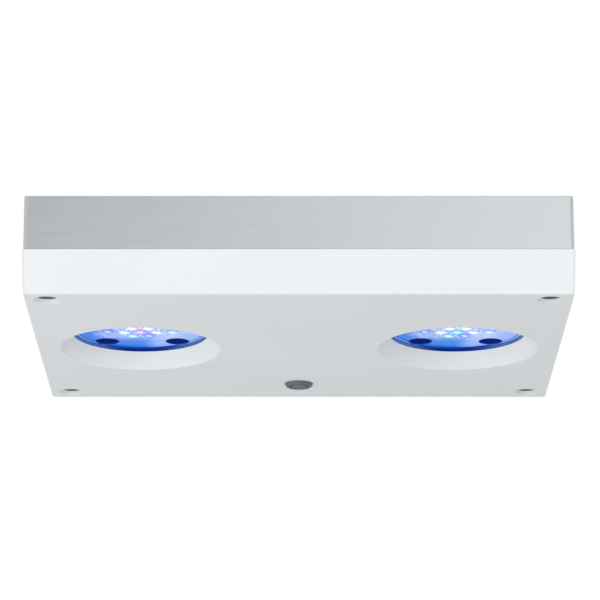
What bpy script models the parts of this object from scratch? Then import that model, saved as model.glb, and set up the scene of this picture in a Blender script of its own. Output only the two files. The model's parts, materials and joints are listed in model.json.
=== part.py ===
"""Hanging LED aquarium light: an aluminium housing over a white cover with two flared light recesses.

X is the length, Y the depth with the front at -Y, and Z is up. The origin is the centre of the
housing's top face, which the light hangs by. Everything is in metres.
"""

import math

import bmesh
import bpy
from mathutils import Matrix, Vector
from mathutils.geometry import interpolate_bezier

CLEARANCE = 0.0003
OVERLAP = 0.0005

# Overall size, at the seam between the cover and the housing.
LENGTH = 0.3150
DEPTH = 0.2346
HOUSING_HEIGHT = 0.0318
COVER_HEIGHT = 0.0267
FACE_Z = -(HOUSING_HEIGHT + COVER_HEIGHT)
SEAM_Z = -HOUSING_HEIGHT

# Housing: a folded aluminium tray, a little smaller than the cover's rim.
HOUSING_INSET = 0.00065
SHEET = 0.0020
HOUSING_CORNER = 0.0014
HOUSING_X = LENGTH / 2 - HOUSING_INSET
HOUSING_Y = DEPTH / 2 - HOUSING_INSET
PLATE_UNDER_Z = -SHEET
POST_RADIUS = 0.0045
POST_BOTTOM_Z = SEAM_Z - 0.0009
POST_HOLE_TOP_Z = -0.0190
VENTS = 13
VENT_PITCH = 0.0080
VENT_HALF_WIDTH = 0.0012
VENT_HALF_HEIGHT = 0.0085
VENT_Z = -0.0170

# Cover: a moulded tray whose walls draw in towards the underside.
COVER_DRAFT = 0.0011
COVER_CORNER = 0.0020
COVER_EDGE = 0.0008
COVER_WALL = 0.0026
COVER_FLOOR_Z = FACE_Z + 0.0026
RIM_Z = SEAM_Z - CLEARANCE / 2
LEDGE_INSET = 0.0062
LEDGE_BOTTOM_Z = SEAM_Z - 0.0042
LIP_INSET = 0.0050
LIP_TOP_Z = SEAM_Z + 0.0023
SEAL_INSET = HOUSING_INSET + SHEET + CLEARANCE
SEAL_HEIGHT = 0.0017

# Light modules, one each side of the centre.
MODULE_X = 0.0954
MODULE_Y = 0.0015
MOUTH_RADIUS = 0.0480
THROAT_RADIUS = 0.0408
THROAT_Z = FACE_Z + 0.0097
BOWL_BASE_RADIUS = 0.0510
BOWL_TOP_RADIUS = 0.0468
SEAL_RADIUS = 0.0405
LENS_RADIUS = 0.0455
LENS_FRONT_Z = FACE_Z + 0.0116
LENS_THICKNESS = 0.0025
LED_PITCH = 0.0097
LED_ROW = 0.0084
DOME_RADIUS = 0.0043
DOME_TIP_RADIUS = 0.0034
DOME_HEIGHT = 0.0016
CONE_TIP_RADIUS = 0.0030
WELL_X = 0.0214
WELL_Y = 0.0246
WELL_RADIUS = 0.0069
WELL_WALL = 0.0013
WELL_FLOOR = 0.0015
BOARD_BOTTOM_Z = FACE_Z + 0.0197
BOARD_THICKNESS = 0.0016
BOARD_RADIUS = 0.0450
LED_SIZE = 0.0035
LED_HEIGHT = 0.0010
SINK_HALF_X = 0.0500
SINK_HALF_Y = 0.0600
SINK_BASE = 0.0040
SINK_TOP_Z = -0.0195
FINS = 14
FIN_PITCH = 0.0070
FIN_THICKNESS = 0.0014
SINK_POST_X = 6 * FIN_PITCH
SINK_POST_Y = 0.0520
SINK_POST_RADIUS = 0.0035

# Fans, under the top plate.
FAN_HALF = 0.0400
FAN_HOLE = 0.03575
FAN_CORNER = 0.0040
FAN_HOLE_RADIUS = 0.0022
FAN_TOP_Z = PLATE_UNDER_Z - CLEARANCE
FAN_HEIGHT = 0.0150
FAN_BOTTOM_Z = FAN_TOP_Z - FAN_HEIGHT
DUCT_RADIUS = 0.0380
FAN_BEARING_RADIUS = 0.0015
FAN_TUBE_RADIUS = 0.0035
FAN_SHAFT_RADIUS = 0.0011
HUB_RADIUS = 0.0170
HUB_WALL = 0.0020
SPIDER = 0.0020
BLADES = 7
BLADE_TIP_RADIUS = 0.0363
BLADE_THICKNESS = 0.0011
BLADE_CHORD = 0.0130
BLADE_ROOT_PITCH = math.radians(40)
BLADE_TIP_PITCH = math.radians(62)
SLOTS = 11
SLOT_PITCH = 0.0064
SLOT_HALF_WIDTH = 0.0016
SLOT_FIELD_RADIUS = 0.0375

# Corner screws and their conical dimples in the underside.
CORNER_X = 0.1435
CORNER_Y = 0.1040
DIMPLE_RADIUS = 0.0075
DIMPLE_DEPTH = 0.0035
COUNTERBORE_RADIUS = 0.0043
COUNTERBORE_DEPTH = 0.0060
BOSS_RADIUS = 0.0065
BOSS_TOP_Z = POST_BOTTOM_Z - CLEARANCE

# Push button.
BUTTON_Y = 0.0852
BUTTON_RADIUS = 0.0084
BUTTON_TIP_RADIUS = 0.0079
BUTTON_PROUD = 0.0015
BUTTON_HOLE_RADIUS = 0.0087
BUTTON_FLANGE_RADIUS = 0.0105
BUTTON_GROOVE_RADIUS = 0.0053
DISH_RADIUS = 0.0140
DISH_DEPTH = 0.0004

# Control board.
PCB_HALF_X = 0.0320
PCB_FRONT_Y = -0.0800
PCB_BACK_Y = 0.0960
PCB_BOTTOM_Z = FACE_Z + 0.0125
PCB_THICKNESS = 0.0016
PCB_TOP_Z = PCB_BOTTOM_Z + PCB_THICKNESS
PCB_HOLE_X = 0.0270
PCB_HOLE_Y = (-0.0740, 0.0905)
PCB_POST_RADIUS = 0.0032
CONNECTOR_X = 0.0270
CONNECTOR_TOP_Z = PCB_TOP_Z + 0.0050
FAN_CONNECTOR_Y = -0.0250
INLET_CONNECTOR_Y = 0.0640

# Rear inlet and hanging inserts.
INLET_Z = -0.0160
INLET_BUSH_RADIUS = 0.0055
INLET_BODY_RADIUS = 0.0070
INLET_PROUD = 0.0036
INLET_BODY_LENGTH = 0.0130
SOCKET_RADIUS = 0.00275
SOCKET_DEPTH = 0.0095
SOCKET_PIN_RADIUS = 0.0010
NUT_RADIUS = 0.0080
NUT_THICKNESS = 0.0022
HANGER_X = 0.1400
HANGER_Y = 0.0800
HANGER_FLANGE_RADIUS = 0.0060
HANGER_BARREL_RADIUS = 0.0042
HANGER_THREAD_RADIUS = 0.0021
HANGER_FLANGE_THICKNESS = 0.0007
HANGER_FLOOR = 0.0015
HANGER_BOTTOM_Z = -0.0125

LEAD_RADIUS = 0.0013

# Holes and shanks of the screws.
SCREW_HOLE_RADIUS = 0.0018
PILOT_RADIUS = 0.0015
COUNTERSINK_RADIUS = 0.0046
SHANK_RADIUS = 0.0012

SIDES = {"left": -1, "right": 1}
CORNERS = {"front_left": (-1, -1), "front_right": (1, -1), "back_left": (-1, 1), "back_right": (1, 1)}

# Colour, roughness and metallic value of each material.
FINISHES = {
    "brushed_aluminium": ((0.56, 0.58, 0.60), 0.35, 1.0),
    "cover_plastic": ((0.86, 0.87, 0.87), 0.45, 0.0),
    "seal_rubber": ((0.10, 0.11, 0.12), 0.80, 0.0),
    "lens_clear": ((0.10, 0.28, 0.85), 0.10, 0.0),
    "lens_ring": ((0.01, 0.04, 0.20), 0.20, 0.0),
    "board_white": ((0.85, 0.86, 0.84), 0.50, 0.0),
    "board_green": ((0.03, 0.22, 0.10), 0.45, 0.0),
    "raw_aluminium": ((0.62, 0.63, 0.65), 0.45, 1.0),
    "black_plastic": ((0.02, 0.02, 0.022), 0.50, 0.0),
    "button_grey": ((0.13, 0.14, 0.15), 0.55, 0.0),
    "steel": ((0.45, 0.45, 0.46), 0.30, 1.0),
    "lead_sleeve": ((0.03, 0.03, 0.035), 0.60, 0.0),
}


def clear_scene():
    for obj in list(bpy.data.objects):
        bpy.data.objects.remove(obj)


def new_collection(name):
    made = bpy.data.collections.new(name)
    bpy.context.scene.collection.children.link(made)
    return made


def material(name):
    colour, roughness, metallic = FINISHES[name]
    made = bpy.data.materials.new(name)
    made.use_nodes = True
    shader = made.node_tree.nodes["Principled BSDF"]
    shader.inputs["Base Color"].default_value = (*colour, 1)
    shader.inputs["Roughness"].default_value = roughness
    shader.inputs["Metallic"].default_value = metallic
    made.diffuse_color = (*colour, 1)
    return made


def add_object(name, data, finish=None):
    """A part if it has a finish, or else a hidden tool for a Boolean."""
    obj = bpy.data.objects.new(name, data)
    if finish:
        data.materials.append(MATERIALS[finish])
        PARTS.objects.link(obj)
    else:
        obj.hide_render = True
        obj.display_type = "WIRE"
        TOOLS.objects.link(obj)
    return obj


def mesh_object(name, bm, finish=None):
    data = bpy.data.meshes.new(name)
    bm.to_mesh(data)
    bm.free()
    data.shade_smooth()
    data.set_sharp_from_angle(angle=math.radians(35))
    return add_object(name, data, finish)


def combine(obj, operation, tool):
    modifier = obj.modifiers.new(tool.name, "BOOLEAN")
    modifier.operation = operation
    modifier.solver = "EXACT"
    modifier.object = tool


def apply_tool(obj, operation, bm, name):
    """Applies a mesh that is given in the object's own frame."""
    tool = mesh_object(f"{obj.name}_{name}", bm)
    tool.location = obj.location
    tool.rotation_euler = obj.rotation_euler
    combine(obj, operation, tool)


def cut(obj, bm, name):
    apply_tool(obj, "DIFFERENCE", bm, name)


def join(obj, bm, name):
    apply_tool(obj, "UNION", bm, name)


def add_box(bm, low, high):
    size = [b - a for a, b in zip(low, high)]
    centre = [(a + b) / 2 for a, b in zip(low, high)]
    place = Matrix.Translation(centre) @ Matrix.Diagonal((*size, 1))
    return bmesh.ops.create_cube(bm, size=1, matrix=place)["verts"]


def add_plan_box(bm, half_x, half_y, low, high):
    """A box centred on the Z axis."""
    return add_box(bm, (-half_x, -half_y, low), (half_x, half_y, high))


def add_round(bm, place, low, high, radius, top_radius=None, segments=16):
    """A cylinder, or a cone that has top_radius at its high end, standing at place = (x, y)."""
    centre = Matrix.Translation((*place, (low + high) / 2))
    bmesh.ops.create_cone(
        bm,
        cap_ends=True,
        segments=segments,
        radius1=radius,
        radius2=radius if top_radius is None else top_radius,
        depth=high - low,
        matrix=centre,
    )


def add_slot(bm, centre, direction, half_length, half_width, half_depth, along):
    """A round-ended slot: direction is its long way, and along is the way that it cuts."""
    side = along.cross(direction)
    frame = Matrix((direction, side, along)).transposed().to_4x4()
    half_step = Matrix.Rotation(math.pi / 8, 4, "Z")
    disc = bmesh.ops.create_circle(bm, cap_ends=True, segments=8, radius=half_width, matrix=half_step)
    for vert in disc["verts"]:
        vert.co.x += math.copysign(half_length - half_width, vert.co.x)
        vert.co.z = -half_depth
    face = disc["verts"][0].link_faces[0]
    raised = bmesh.ops.extrude_face_region(bm, geom=[face])["geom"]
    lifted = [item for item in raised if isinstance(item, bmesh.types.BMVert)]
    bmesh.ops.translate(bm, verts=lifted, vec=(0, 0, 2 * half_depth))
    place = Matrix.Translation(centre) @ frame
    bmesh.ops.transform(bm, matrix=place, verts=list({*disc["verts"], *lifted}))
    bmesh.ops.recalc_face_normals(bm, faces=bm.faces)


def rounded_block(name, half_x, half_y, low, high, corner, finish, draft=0.0, low_edge=0.0, high_edge=0.0):
    """A block with rounded upright corners, whose low end may be smaller by the draft."""
    bm = bmesh.new()
    for vert in add_plan_box(bm, half_x, half_y, low, high):
        if vert.co.z == min(v.co.z for v in bm.verts):
            vert.co.x -= math.copysign(draft, vert.co.x)
            vert.co.y -= math.copysign(draft, vert.co.y)
    middle = (low + high) / 2
    upright = [e for e in bm.edges if (e.verts[0].co.z < middle) != (e.verts[1].co.z < middle)]
    bmesh.ops.bevel(bm, geom=upright, offset=corner, segments=4, profile=0.5, affect="EDGES")
    for width, below in ((low_edge, True), (high_edge, False)):
        if width:
            rim = [e for e in bm.edges if all((v.co.z < middle) == below for v in e.verts)]
            bmesh.ops.bevel(bm, geom=rim, offset=width, segments=2, profile=0.5, affect="EDGES")
    return mesh_object(name, bm, finish)


def turned(name, profile, finish=None, place=(0, 0, 0), turn=(0, 0, 0), steps=24, closed=False):
    """A profile of (radius, height) points, listed down its outer side, turned about the local Z axis."""
    bm = bmesh.new()
    points = [bm.verts.new((radius, 0, height)) for radius, height in profile]
    for first, second in zip(points, points[1:] + points[:1] * closed):
        bm.edges.new((first, second))
    data = bpy.data.meshes.new(name)
    bm.to_mesh(data)
    bm.free()
    obj = add_object(name, data, finish)
    obj.location = place
    obj.rotation_euler = turn
    screw = obj.modifiers.new("turn", "SCREW")
    screw.axis = "Z"
    screw.angle = math.tau
    screw.steps = screw.render_steps = steps
    screw.use_merge_vertices = True
    screw.merge_threshold = 0.00001
    screw.use_smooth_shade = True
    return obj


def screw(name, finish, place, head_radius, head, shank_radius, length, face_down=False, recess=0.0):
    """A pan-head screw. place is the middle of its head's outer face, and recess its drive's radius."""
    profile = [(0, -head * 0.6), (recess, -head * 0.6), (recess, 0)] if recess else [(0, 0)]
    profile += [
        (head_radius, 0),
        (head_radius, -head),
        (shank_radius, -head),
        (shank_radius, -length),
        (0, -length),
    ]
    turn = (math.pi, 0, 0) if face_down else (0, 0, 0)
    return turned(name, profile, finish, place, turn, steps=12 if recess else 8)


def module_centre(side):
    return Vector((side * MODULE_X, MODULE_Y, 0))


def beside(centre, x, y):
    return (centre.x + x, centre.y + y)


def corner_signs():
    return [(x, y) for x in (-1, 1) for y in (-1, 1)]


def led_places():
    """Places of the nine LEDs about a module's centre: a row of five between two pairs."""
    row = [(step * LED_PITCH, 0) for step in range(-2, 3)]
    pairs = [(x * LED_PITCH / 2, y * LED_ROW) for x, y in corner_signs()]
    return row + pairs


def sink_screw_places(centre):
    """Two opposite corners of a heat sink's base."""
    return [beside(centre, x * SINK_POST_X, x * SINK_POST_Y) for x in (-1, 1)]


def control_board_screw_places():
    return [(x, y) for x in (-PCB_HOLE_X, PCB_HOLE_X) for y in PCB_HOLE_Y]


def add_fan_slots(bm, centre):
    """Parallel intake slots that fill a circle over the fan."""
    sideways = Vector((1, 0, 0))
    upward = Vector((0, 0, 1))
    for number in range(SLOTS):
        across = (number - (SLOTS - 1) / 2) * SLOT_PITCH
        half_length = math.sqrt(SLOT_FIELD_RADIUS**2 - across**2)
        place = centre + Vector((0, across, PLATE_UNDER_Z / 2))
        add_slot(bm, place, sideways, half_length, SLOT_HALF_WIDTH, SHEET, upward)


def add_end_vents(bm):
    """Upright slots in the housing's two ends."""
    upward = Vector((0, 0, 1))
    outward = Vector((1, 0, 0))
    for side in SIDES.values():
        for number in range(VENTS):
            y = (number - (VENTS - 1) / 2) * VENT_PITCH
            place = Vector((side * (HOUSING_X - SHEET / 2), y, VENT_Z))
            add_slot(bm, place, upward, VENT_HALF_HEIGHT, VENT_HALF_WIDTH, SHEET, outward)


def cut_insert_holes(housing):
    """Stepped holes that the hanging inserts' flanges sit flush in."""
    step_z = -HANGER_FLANGE_THICKNESS - CLEARANCE
    bm = bmesh.new()
    for x, y in corner_signs():
        place = (x * HANGER_X, y * HANGER_Y)
        add_round(bm, place, step_z, OVERLAP, HANGER_FLANGE_RADIUS + CLEARANCE)
    cut(housing, bm, "insert_flange_holes")
    bm = bmesh.new()
    for x, y in corner_signs():
        place = (x * HANGER_X, y * HANGER_Y)
        add_round(bm, place, PLATE_UNDER_Z - OVERLAP, step_z + OVERLAP, HANGER_BARREL_RADIUS + CLEARANCE)
    cut(housing, bm, "insert_holes")


def add_fan_screw_holes(bm):
    """Countersunk holes over the corners of the fans."""
    for side in SIDES.values():
        for x, y in corner_signs():
            place = beside(module_centre(side), x * FAN_HOLE, y * FAN_HOLE)
            low = PLATE_UNDER_Z - OVERLAP
            add_round(bm, place, low, OVERLAP, SCREW_HOLE_RADIUS, COUNTERSINK_RADIUS, segments=12)


def make_top_housing():
    housing = rounded_block(
        "top_housing",
        HOUSING_X,
        HOUSING_Y,
        SEAM_Z + CLEARANCE / 2,
        0,
        HOUSING_CORNER,
        "brushed_aluminium",
        high_edge=0.0004,
    )
    bm = bmesh.new()
    add_plan_box(bm, HOUSING_X - SHEET, HOUSING_Y - SHEET, SEAM_Z - SHEET, PLATE_UNDER_Z)
    cut(housing, bm, "cavity")
    bm = bmesh.new()
    for x, y in corner_signs():
        add_round(bm, (x * CORNER_X, y * CORNER_Y), POST_BOTTOM_Z, PLATE_UNDER_Z + OVERLAP, POST_RADIUS)
    join(housing, bm, "posts")
    bm = bmesh.new()
    for x, y in corner_signs():
        place = (x * CORNER_X, y * CORNER_Y)
        add_round(bm, place, POST_BOTTOM_Z - OVERLAP, POST_HOLE_TOP_Z, SCREW_HOLE_RADIUS, segments=12)
    cut(housing, bm, "screw_holes")
    bm = bmesh.new()
    for side in SIDES.values():
        add_fan_slots(bm, module_centre(side))
    add_end_vents(bm)
    cut(housing, bm, "vents")
    cut_insert_holes(housing)
    bm = bmesh.new()
    add_fan_screw_holes(bm)
    rear_wall = Matrix.Translation((0, HOUSING_Y - SHEET / 2, INLET_Z))
    bmesh.ops.create_cone(
        bm,
        cap_ends=True,
        segments=24,
        radius1=INLET_BUSH_RADIUS + CLEARANCE,
        radius2=INLET_BUSH_RADIUS + CLEARANCE,
        depth=3 * SHEET,
        matrix=rear_wall @ Matrix.Rotation(math.pi / 2, 4, "X"),
    )
    cut(housing, bm, "screw_and_inlet_holes")


def make_bottom_cover():
    cover = rounded_block(
        "bottom_cover",
        LENGTH / 2,
        DEPTH / 2,
        FACE_Z,
        RIM_Z,
        COVER_CORNER,
        "cover_plastic",
        draft=COVER_DRAFT,
        low_edge=COVER_EDGE,
    )
    bm = bmesh.new()
    add_plan_box(bm, LENGTH / 2 - LIP_INSET, DEPTH / 2 - LIP_INSET, RIM_Z - OVERLAP, LIP_TOP_Z)
    join(cover, bm, "lip")
    bm = bmesh.new()
    add_plan_box(bm, LENGTH / 2 - LEDGE_INSET, DEPTH / 2 - LEDGE_INSET, COVER_FLOOR_Z, LIP_TOP_Z + OVERLAP)
    cut(cover, bm, "cavity")
    bm = bmesh.new()
    inset = COVER_WALL + COVER_DRAFT
    add_plan_box(bm, LENGTH / 2 - inset, DEPTH / 2 - inset, COVER_FLOOR_Z, LEDGE_BOTTOM_Z)
    cut(cover, bm, "lower_cavity")
    add_cover_supports(cover)
    cut_recesses(cover)
    cut_cover_holes(cover)


def add_cover_supports(cover):
    """The recess bowls, and the bosses and posts that stand on the cover's floor."""
    root_z = COVER_FLOOR_Z - OVERLAP
    bm = bmesh.new()
    for side in SIDES.values():
        centre = module_centre(side)
        add_round(bm, centre.xy, root_z, THROAT_Z, BOWL_BASE_RADIUS, BOWL_TOP_RADIUS, segments=48)
        for place in sink_screw_places(centre):
            add_round(bm, place, root_z, BOARD_BOTTOM_Z + BOARD_THICKNESS, SINK_POST_RADIUS, segments=12)
    for x, y in corner_signs():
        add_round(bm, (x * CORNER_X, y * CORNER_Y), root_z, BOSS_TOP_Z, BOSS_RADIUS)
    for place in control_board_screw_places():
        add_round(bm, place, root_z, PCB_BOTTOM_Z - CLEARANCE, PCB_POST_RADIUS, segments=12)
    join(cover, bm, "supports")


def cut_recesses(cover):
    """The flared light recesses, the button's hole in its shallow dish, and the corner dimples."""
    below = 0.0010
    flare = (MOUTH_RADIUS - THROAT_RADIUS) / (THROAT_Z - FACE_Z)
    for label, side in SIDES.items():
        profile = [
            (0, THROAT_Z + below),
            (THROAT_RADIUS, THROAT_Z + below),
            (THROAT_RADIUS, THROAT_Z),
            (MOUTH_RADIUS + flare * below, FACE_Z - below),
            (0, FACE_Z - below),
        ]
        tool = turned(f"{cover.name}_recess_{label}", profile, place=module_centre(side), steps=56)
        combine(cover, "DIFFERENCE", tool)
    slope = (DISH_RADIUS - BUTTON_HOLE_RADIUS) / DISH_DEPTH
    profile = [
        (0, COVER_FLOOR_Z + below),
        (BUTTON_HOLE_RADIUS, COVER_FLOOR_Z + below),
        (BUTTON_HOLE_RADIUS, FACE_Z + DISH_DEPTH),
        (DISH_RADIUS + slope * DISH_DEPTH, FACE_Z - DISH_DEPTH),
        (0, FACE_Z - DISH_DEPTH),
    ]
    tool = turned(f"{cover.name}_button_hole", profile, place=(0, BUTTON_Y, 0), steps=32)
    combine(cover, "DIFFERENCE", tool)
    slope = (DIMPLE_RADIUS - COUNTERBORE_RADIUS) / DIMPLE_DEPTH
    profile = [
        (0, FACE_Z + COUNTERBORE_DEPTH),
        (COUNTERBORE_RADIUS, FACE_Z + COUNTERBORE_DEPTH),
        (COUNTERBORE_RADIUS, FACE_Z + DIMPLE_DEPTH),
        (DIMPLE_RADIUS + slope * below, FACE_Z - below),
        (0, FACE_Z - below),
    ]
    for label, (x, y) in CORNERS.items():
        place = (x * CORNER_X, y * CORNER_Y, 0)
        tool = turned(f"{cover.name}_dimple_{label}", profile, place=place, steps=20)
        combine(cover, "DIFFERENCE", tool)


def cut_cover_holes(cover):
    """Through holes in the corner bosses, and blind holes in the other posts."""
    bm = bmesh.new()
    low = FACE_Z + COUNTERBORE_DEPTH - OVERLAP
    for x, y in corner_signs():
        place = (x * CORNER_X, y * CORNER_Y)
        add_round(bm, place, low, BOSS_TOP_Z + OVERLAP, SCREW_HOLE_RADIUS, segments=12)
    low = COVER_FLOOR_Z + 0.0030
    high = BOARD_BOTTOM_Z + 2 * BOARD_THICKNESS
    for side in SIDES.values():
        for place in sink_screw_places(module_centre(side)):
            add_round(bm, place, low, high, PILOT_RADIUS, segments=12)
    low = COVER_FLOOR_Z + 0.0020
    for place in control_board_screw_places():
        add_round(bm, place, low, PCB_BOTTOM_Z + OVERLAP, PILOT_RADIUS, segments=12)
    cut(cover, bm, "screw_holes")


def make_cover_seal():
    bm = bmesh.new()
    low = SEAM_Z + CLEARANCE / 2
    half_x = LENGTH / 2 - SEAL_INSET
    half_y = DEPTH / 2 - SEAL_INSET
    width = LIP_INSET - SEAL_INSET - CLEARANCE
    add_plan_box(bm, half_x, half_y, low, low + SEAL_HEIGHT)
    seal = mesh_object("cover_seal", bm, "seal_rubber")
    bm = bmesh.new()
    add_plan_box(bm, half_x - width, half_y - width, low - OVERLAP, low + SEAL_HEIGHT + OVERLAP)
    cut(seal, bm, "middle")


def make_lens_plate(label, centre):
    """A clear plate with a collimating lens over each LED, and four deep wells for its screws."""
    top = LENS_FRONT_Z + LENS_THICKNESS
    cone_top = BOARD_BOTTOM_Z - LED_HEIGHT - CLEARANCE
    well_top = BOARD_BOTTOM_Z - CLEARANCE
    bm = bmesh.new()
    add_round(bm, centre.xy, LENS_FRONT_Z, top, LENS_RADIUS, segments=48)
    plate = mesh_object(f"lens_plate_{label}", bm, "lens_clear")
    bm = bmesh.new()
    low = LENS_FRONT_Z - DOME_HEIGHT
    high = LENS_FRONT_Z + OVERLAP
    for x, y in led_places():
        place = beside(centre, x, y)
        add_round(bm, place, low, high, DOME_TIP_RADIUS, DOME_RADIUS, segments=12)
    join(plate, bm, "domes")
    bm = bmesh.new()
    for x, y in led_places():
        place = beside(centre, x, y)
        add_round(bm, place, top - OVERLAP, cone_top, DOME_RADIUS, CONE_TIP_RADIUS, segments=8)
    for x, y in corner_signs():
        place = beside(centre, x * WELL_X, y * WELL_Y)
        add_round(bm, place, top - OVERLAP, well_top, WELL_RADIUS + WELL_WALL, segments=12)
    join(plate, bm, "collimators_and_wells")
    bm = bmesh.new()
    for x, y in corner_signs():
        place = beside(centre, x * WELL_X, y * WELL_Y)
        add_round(bm, place, LENS_FRONT_Z - OVERLAP, well_top - WELL_FLOOR, WELL_RADIUS)
    cut(plate, bm, "wells")
    bm = bmesh.new()
    for x, y in corner_signs():
        place = beside(centre, x * WELL_X, y * WELL_Y)
        low = well_top - WELL_FLOOR - OVERLAP
        add_round(bm, place, low, well_top + OVERLAP, SCREW_HOLE_RADIUS, segments=12)
    cut(plate, bm, "screw_holes")


def make_lens_seal(label, centre):
    low = THROAT_Z + CLEARANCE
    high = LENS_FRONT_Z - CLEARANCE
    profile = [(SEAL_RADIUS, high), (LENS_RADIUS, high), (LENS_RADIUS, low), (SEAL_RADIUS, low)]
    turned(f"lens_seal_{label}", profile, "lens_ring", centre, steps=48, closed=True)


def make_lens_screws(label, centre):
    head = 0.0020
    face = BOARD_BOTTOM_Z - CLEARANCE - WELL_FLOOR - CLEARANCE - head
    for number, (x, y) in enumerate(corner_signs(), start=1):
        place = (*beside(centre, x * WELL_X, y * WELL_Y), face)
        name = f"lens_screw_{label}_{number}"
        screw(name, "steel", place, 0.0030, head, SHANK_RADIUS, 0.0088, face_down=True)


def make_led_board(label, centre):
    bm = bmesh.new()
    add_round(bm, centre.xy, BOARD_BOTTOM_Z, BOARD_BOTTOM_Z + BOARD_THICKNESS, BOARD_RADIUS, segments=32)
    board = mesh_object(f"led_board_{label}", bm, "board_white")
    bm = bmesh.new()
    half = LED_SIZE / 2
    for x, y in led_places():
        middle = Vector((*beside(centre, x, y), 0))
        low = middle + Vector((-half, -half, BOARD_BOTTOM_Z - LED_HEIGHT))
        add_box(bm, low, middle + Vector((half, half, BOARD_BOTTOM_Z + OVERLAP)))
    join(board, bm, "leds")
    bm = bmesh.new()
    low = BOARD_BOTTOM_Z - OVERLAP
    high = BOARD_BOTTOM_Z + BOARD_THICKNESS + OVERLAP
    for x, y in corner_signs():
        place = beside(centre, x * WELL_X, y * WELL_Y)
        add_round(bm, place, low, high, SCREW_HOLE_RADIUS, segments=12)
    cut(board, bm, "screw_holes")


def make_heat_sink(label, centre):
    base_z = BOARD_BOTTOM_Z + BOARD_THICKNESS + CLEARANCE
    bm = bmesh.new()
    low = centre + Vector((-SINK_HALF_X, -SINK_HALF_Y, base_z))
    add_box(bm, low, centre + Vector((SINK_HALF_X, SINK_HALF_Y, base_z + SINK_BASE)))
    sink = mesh_object(f"heat_sink_{label}", bm, "raw_aluminium")
    bm = bmesh.new()
    for number in range(FINS):
        x = (number - (FINS - 1) / 2) * FIN_PITCH
        corner = Vector((FIN_THICKNESS / 2, SINK_HALF_Y - OVERLAP, 0))
        root = centre + Vector((x, 0, base_z + SINK_BASE - OVERLAP))
        tip = centre + Vector((x, 0, SINK_TOP_Z))
        add_box(bm, root - corner, tip + corner)
    join(sink, bm, "fins")
    bm = bmesh.new()
    for place in sink_screw_places(centre):
        high = base_z + SINK_BASE + OVERLAP
        add_round(bm, place, base_z - OVERLAP, high, SCREW_HOLE_RADIUS, segments=12)
    for x, y in corner_signs():
        place = beside(centre, x * WELL_X, y * WELL_Y)
        add_round(bm, place, base_z - OVERLAP, base_z + 0.0030, SCREW_HOLE_RADIUS, segments=12)
    cut(sink, bm, "screw_holes")


def make_sink_screws(label, centre):
    head = 0.0018
    top = BOARD_BOTTOM_Z + BOARD_THICKNESS + SINK_BASE + 2 * CLEARANCE + head
    for number, place in enumerate(sink_screw_places(centre), start=1):
        name = f"sink_screw_{label}_{number}"
        screw(name, "steel", (*place, top), 0.0025, head, SHANK_RADIUS, 0.0160)


def make_fan_frame(label, centre):
    """A square frame with a round duct, and a motor seat that four struts carry."""
    frame = rounded_block(
        f"fan_frame_{label}",
        FAN_HALF,
        FAN_HALF,
        FAN_BOTTOM_Z,
        FAN_TOP_Z,
        FAN_CORNER,
        "black_plastic",
    )
    frame.location = centre
    bm = bmesh.new()
    add_round(bm, (0, 0), FAN_BOTTOM_Z - OVERLAP, FAN_TOP_Z + OVERLAP, DUCT_RADIUS, segments=36)
    cut(frame, bm, "duct")
    bm = bmesh.new()
    for quarter in range(4):
        low = (HUB_RADIUS - 0.0020, -0.0015, FAN_BOTTOM_Z)
        strut = add_box(bm, low, (DUCT_RADIUS + 0.0010, 0.0015, FAN_BOTTOM_Z + SPIDER))
        turn = Matrix.Rotation((quarter + 0.5) * math.pi / 2, 3, "Z")
        bmesh.ops.rotate(bm, verts=strut, cent=(0, 0, 0), matrix=turn)
    join(frame, bm, "struts")
    seat_low = FAN_BOTTOM_Z + 0.0002
    seat_high = seat_low + SPIDER
    tube_top = FAN_TOP_Z - 0.0037
    profile = [
        (0, seat_low + 0.0010),
        (FAN_BEARING_RADIUS, seat_low + 0.0010),
        (FAN_BEARING_RADIUS, tube_top),
        (FAN_TUBE_RADIUS, tube_top),
        (FAN_TUBE_RADIUS, seat_high),
        (HUB_RADIUS, seat_high),
        (HUB_RADIUS, seat_low),
        (0, seat_low),
    ]
    hub = turned(f"{frame.name}_motor_seat", profile, place=centre, steps=16)
    combine(frame, "UNION", hub)
    bm = bmesh.new()
    for x, y in corner_signs():
        place = (x * FAN_HOLE, y * FAN_HOLE)
        low = FAN_BOTTOM_Z - OVERLAP
        add_round(bm, place, low, FAN_TOP_Z + OVERLAP, FAN_HOLE_RADIUS, segments=12)
    cut(frame, bm, "screw_holes")


def make_fan_impeller(label, centre):
    """A cup-shaped hub on a shaft, with twisted blades. Its origin is on the fan's axis."""
    top = FAN_TOP_Z - 0.0012
    skirt = FAN_BOTTOM_Z + SPIDER + 0.0010
    shaft_tip = FAN_BOTTOM_Z + 0.0028
    profile = [
        (0, top),
        (HUB_RADIUS - 0.0008, top),
        (HUB_RADIUS, top - 0.0008),
        (HUB_RADIUS, skirt),
        (HUB_RADIUS - HUB_WALL, skirt),
        (HUB_RADIUS - HUB_WALL, top - HUB_WALL),
        (FAN_SHAFT_RADIUS, top - HUB_WALL),
        (FAN_SHAFT_RADIUS, shaft_tip),
        (0, shaft_tip),
    ]
    impeller = turned(f"fan_impeller_{label}", profile, "black_plastic", centre, steps=24)
    bm = bmesh.new()
    middle = (top + skirt) / 2
    for number in range(BLADES):
        add_blade(bm, middle, number * math.tau / BLADES)
    join(impeller, bm, "blades")


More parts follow.
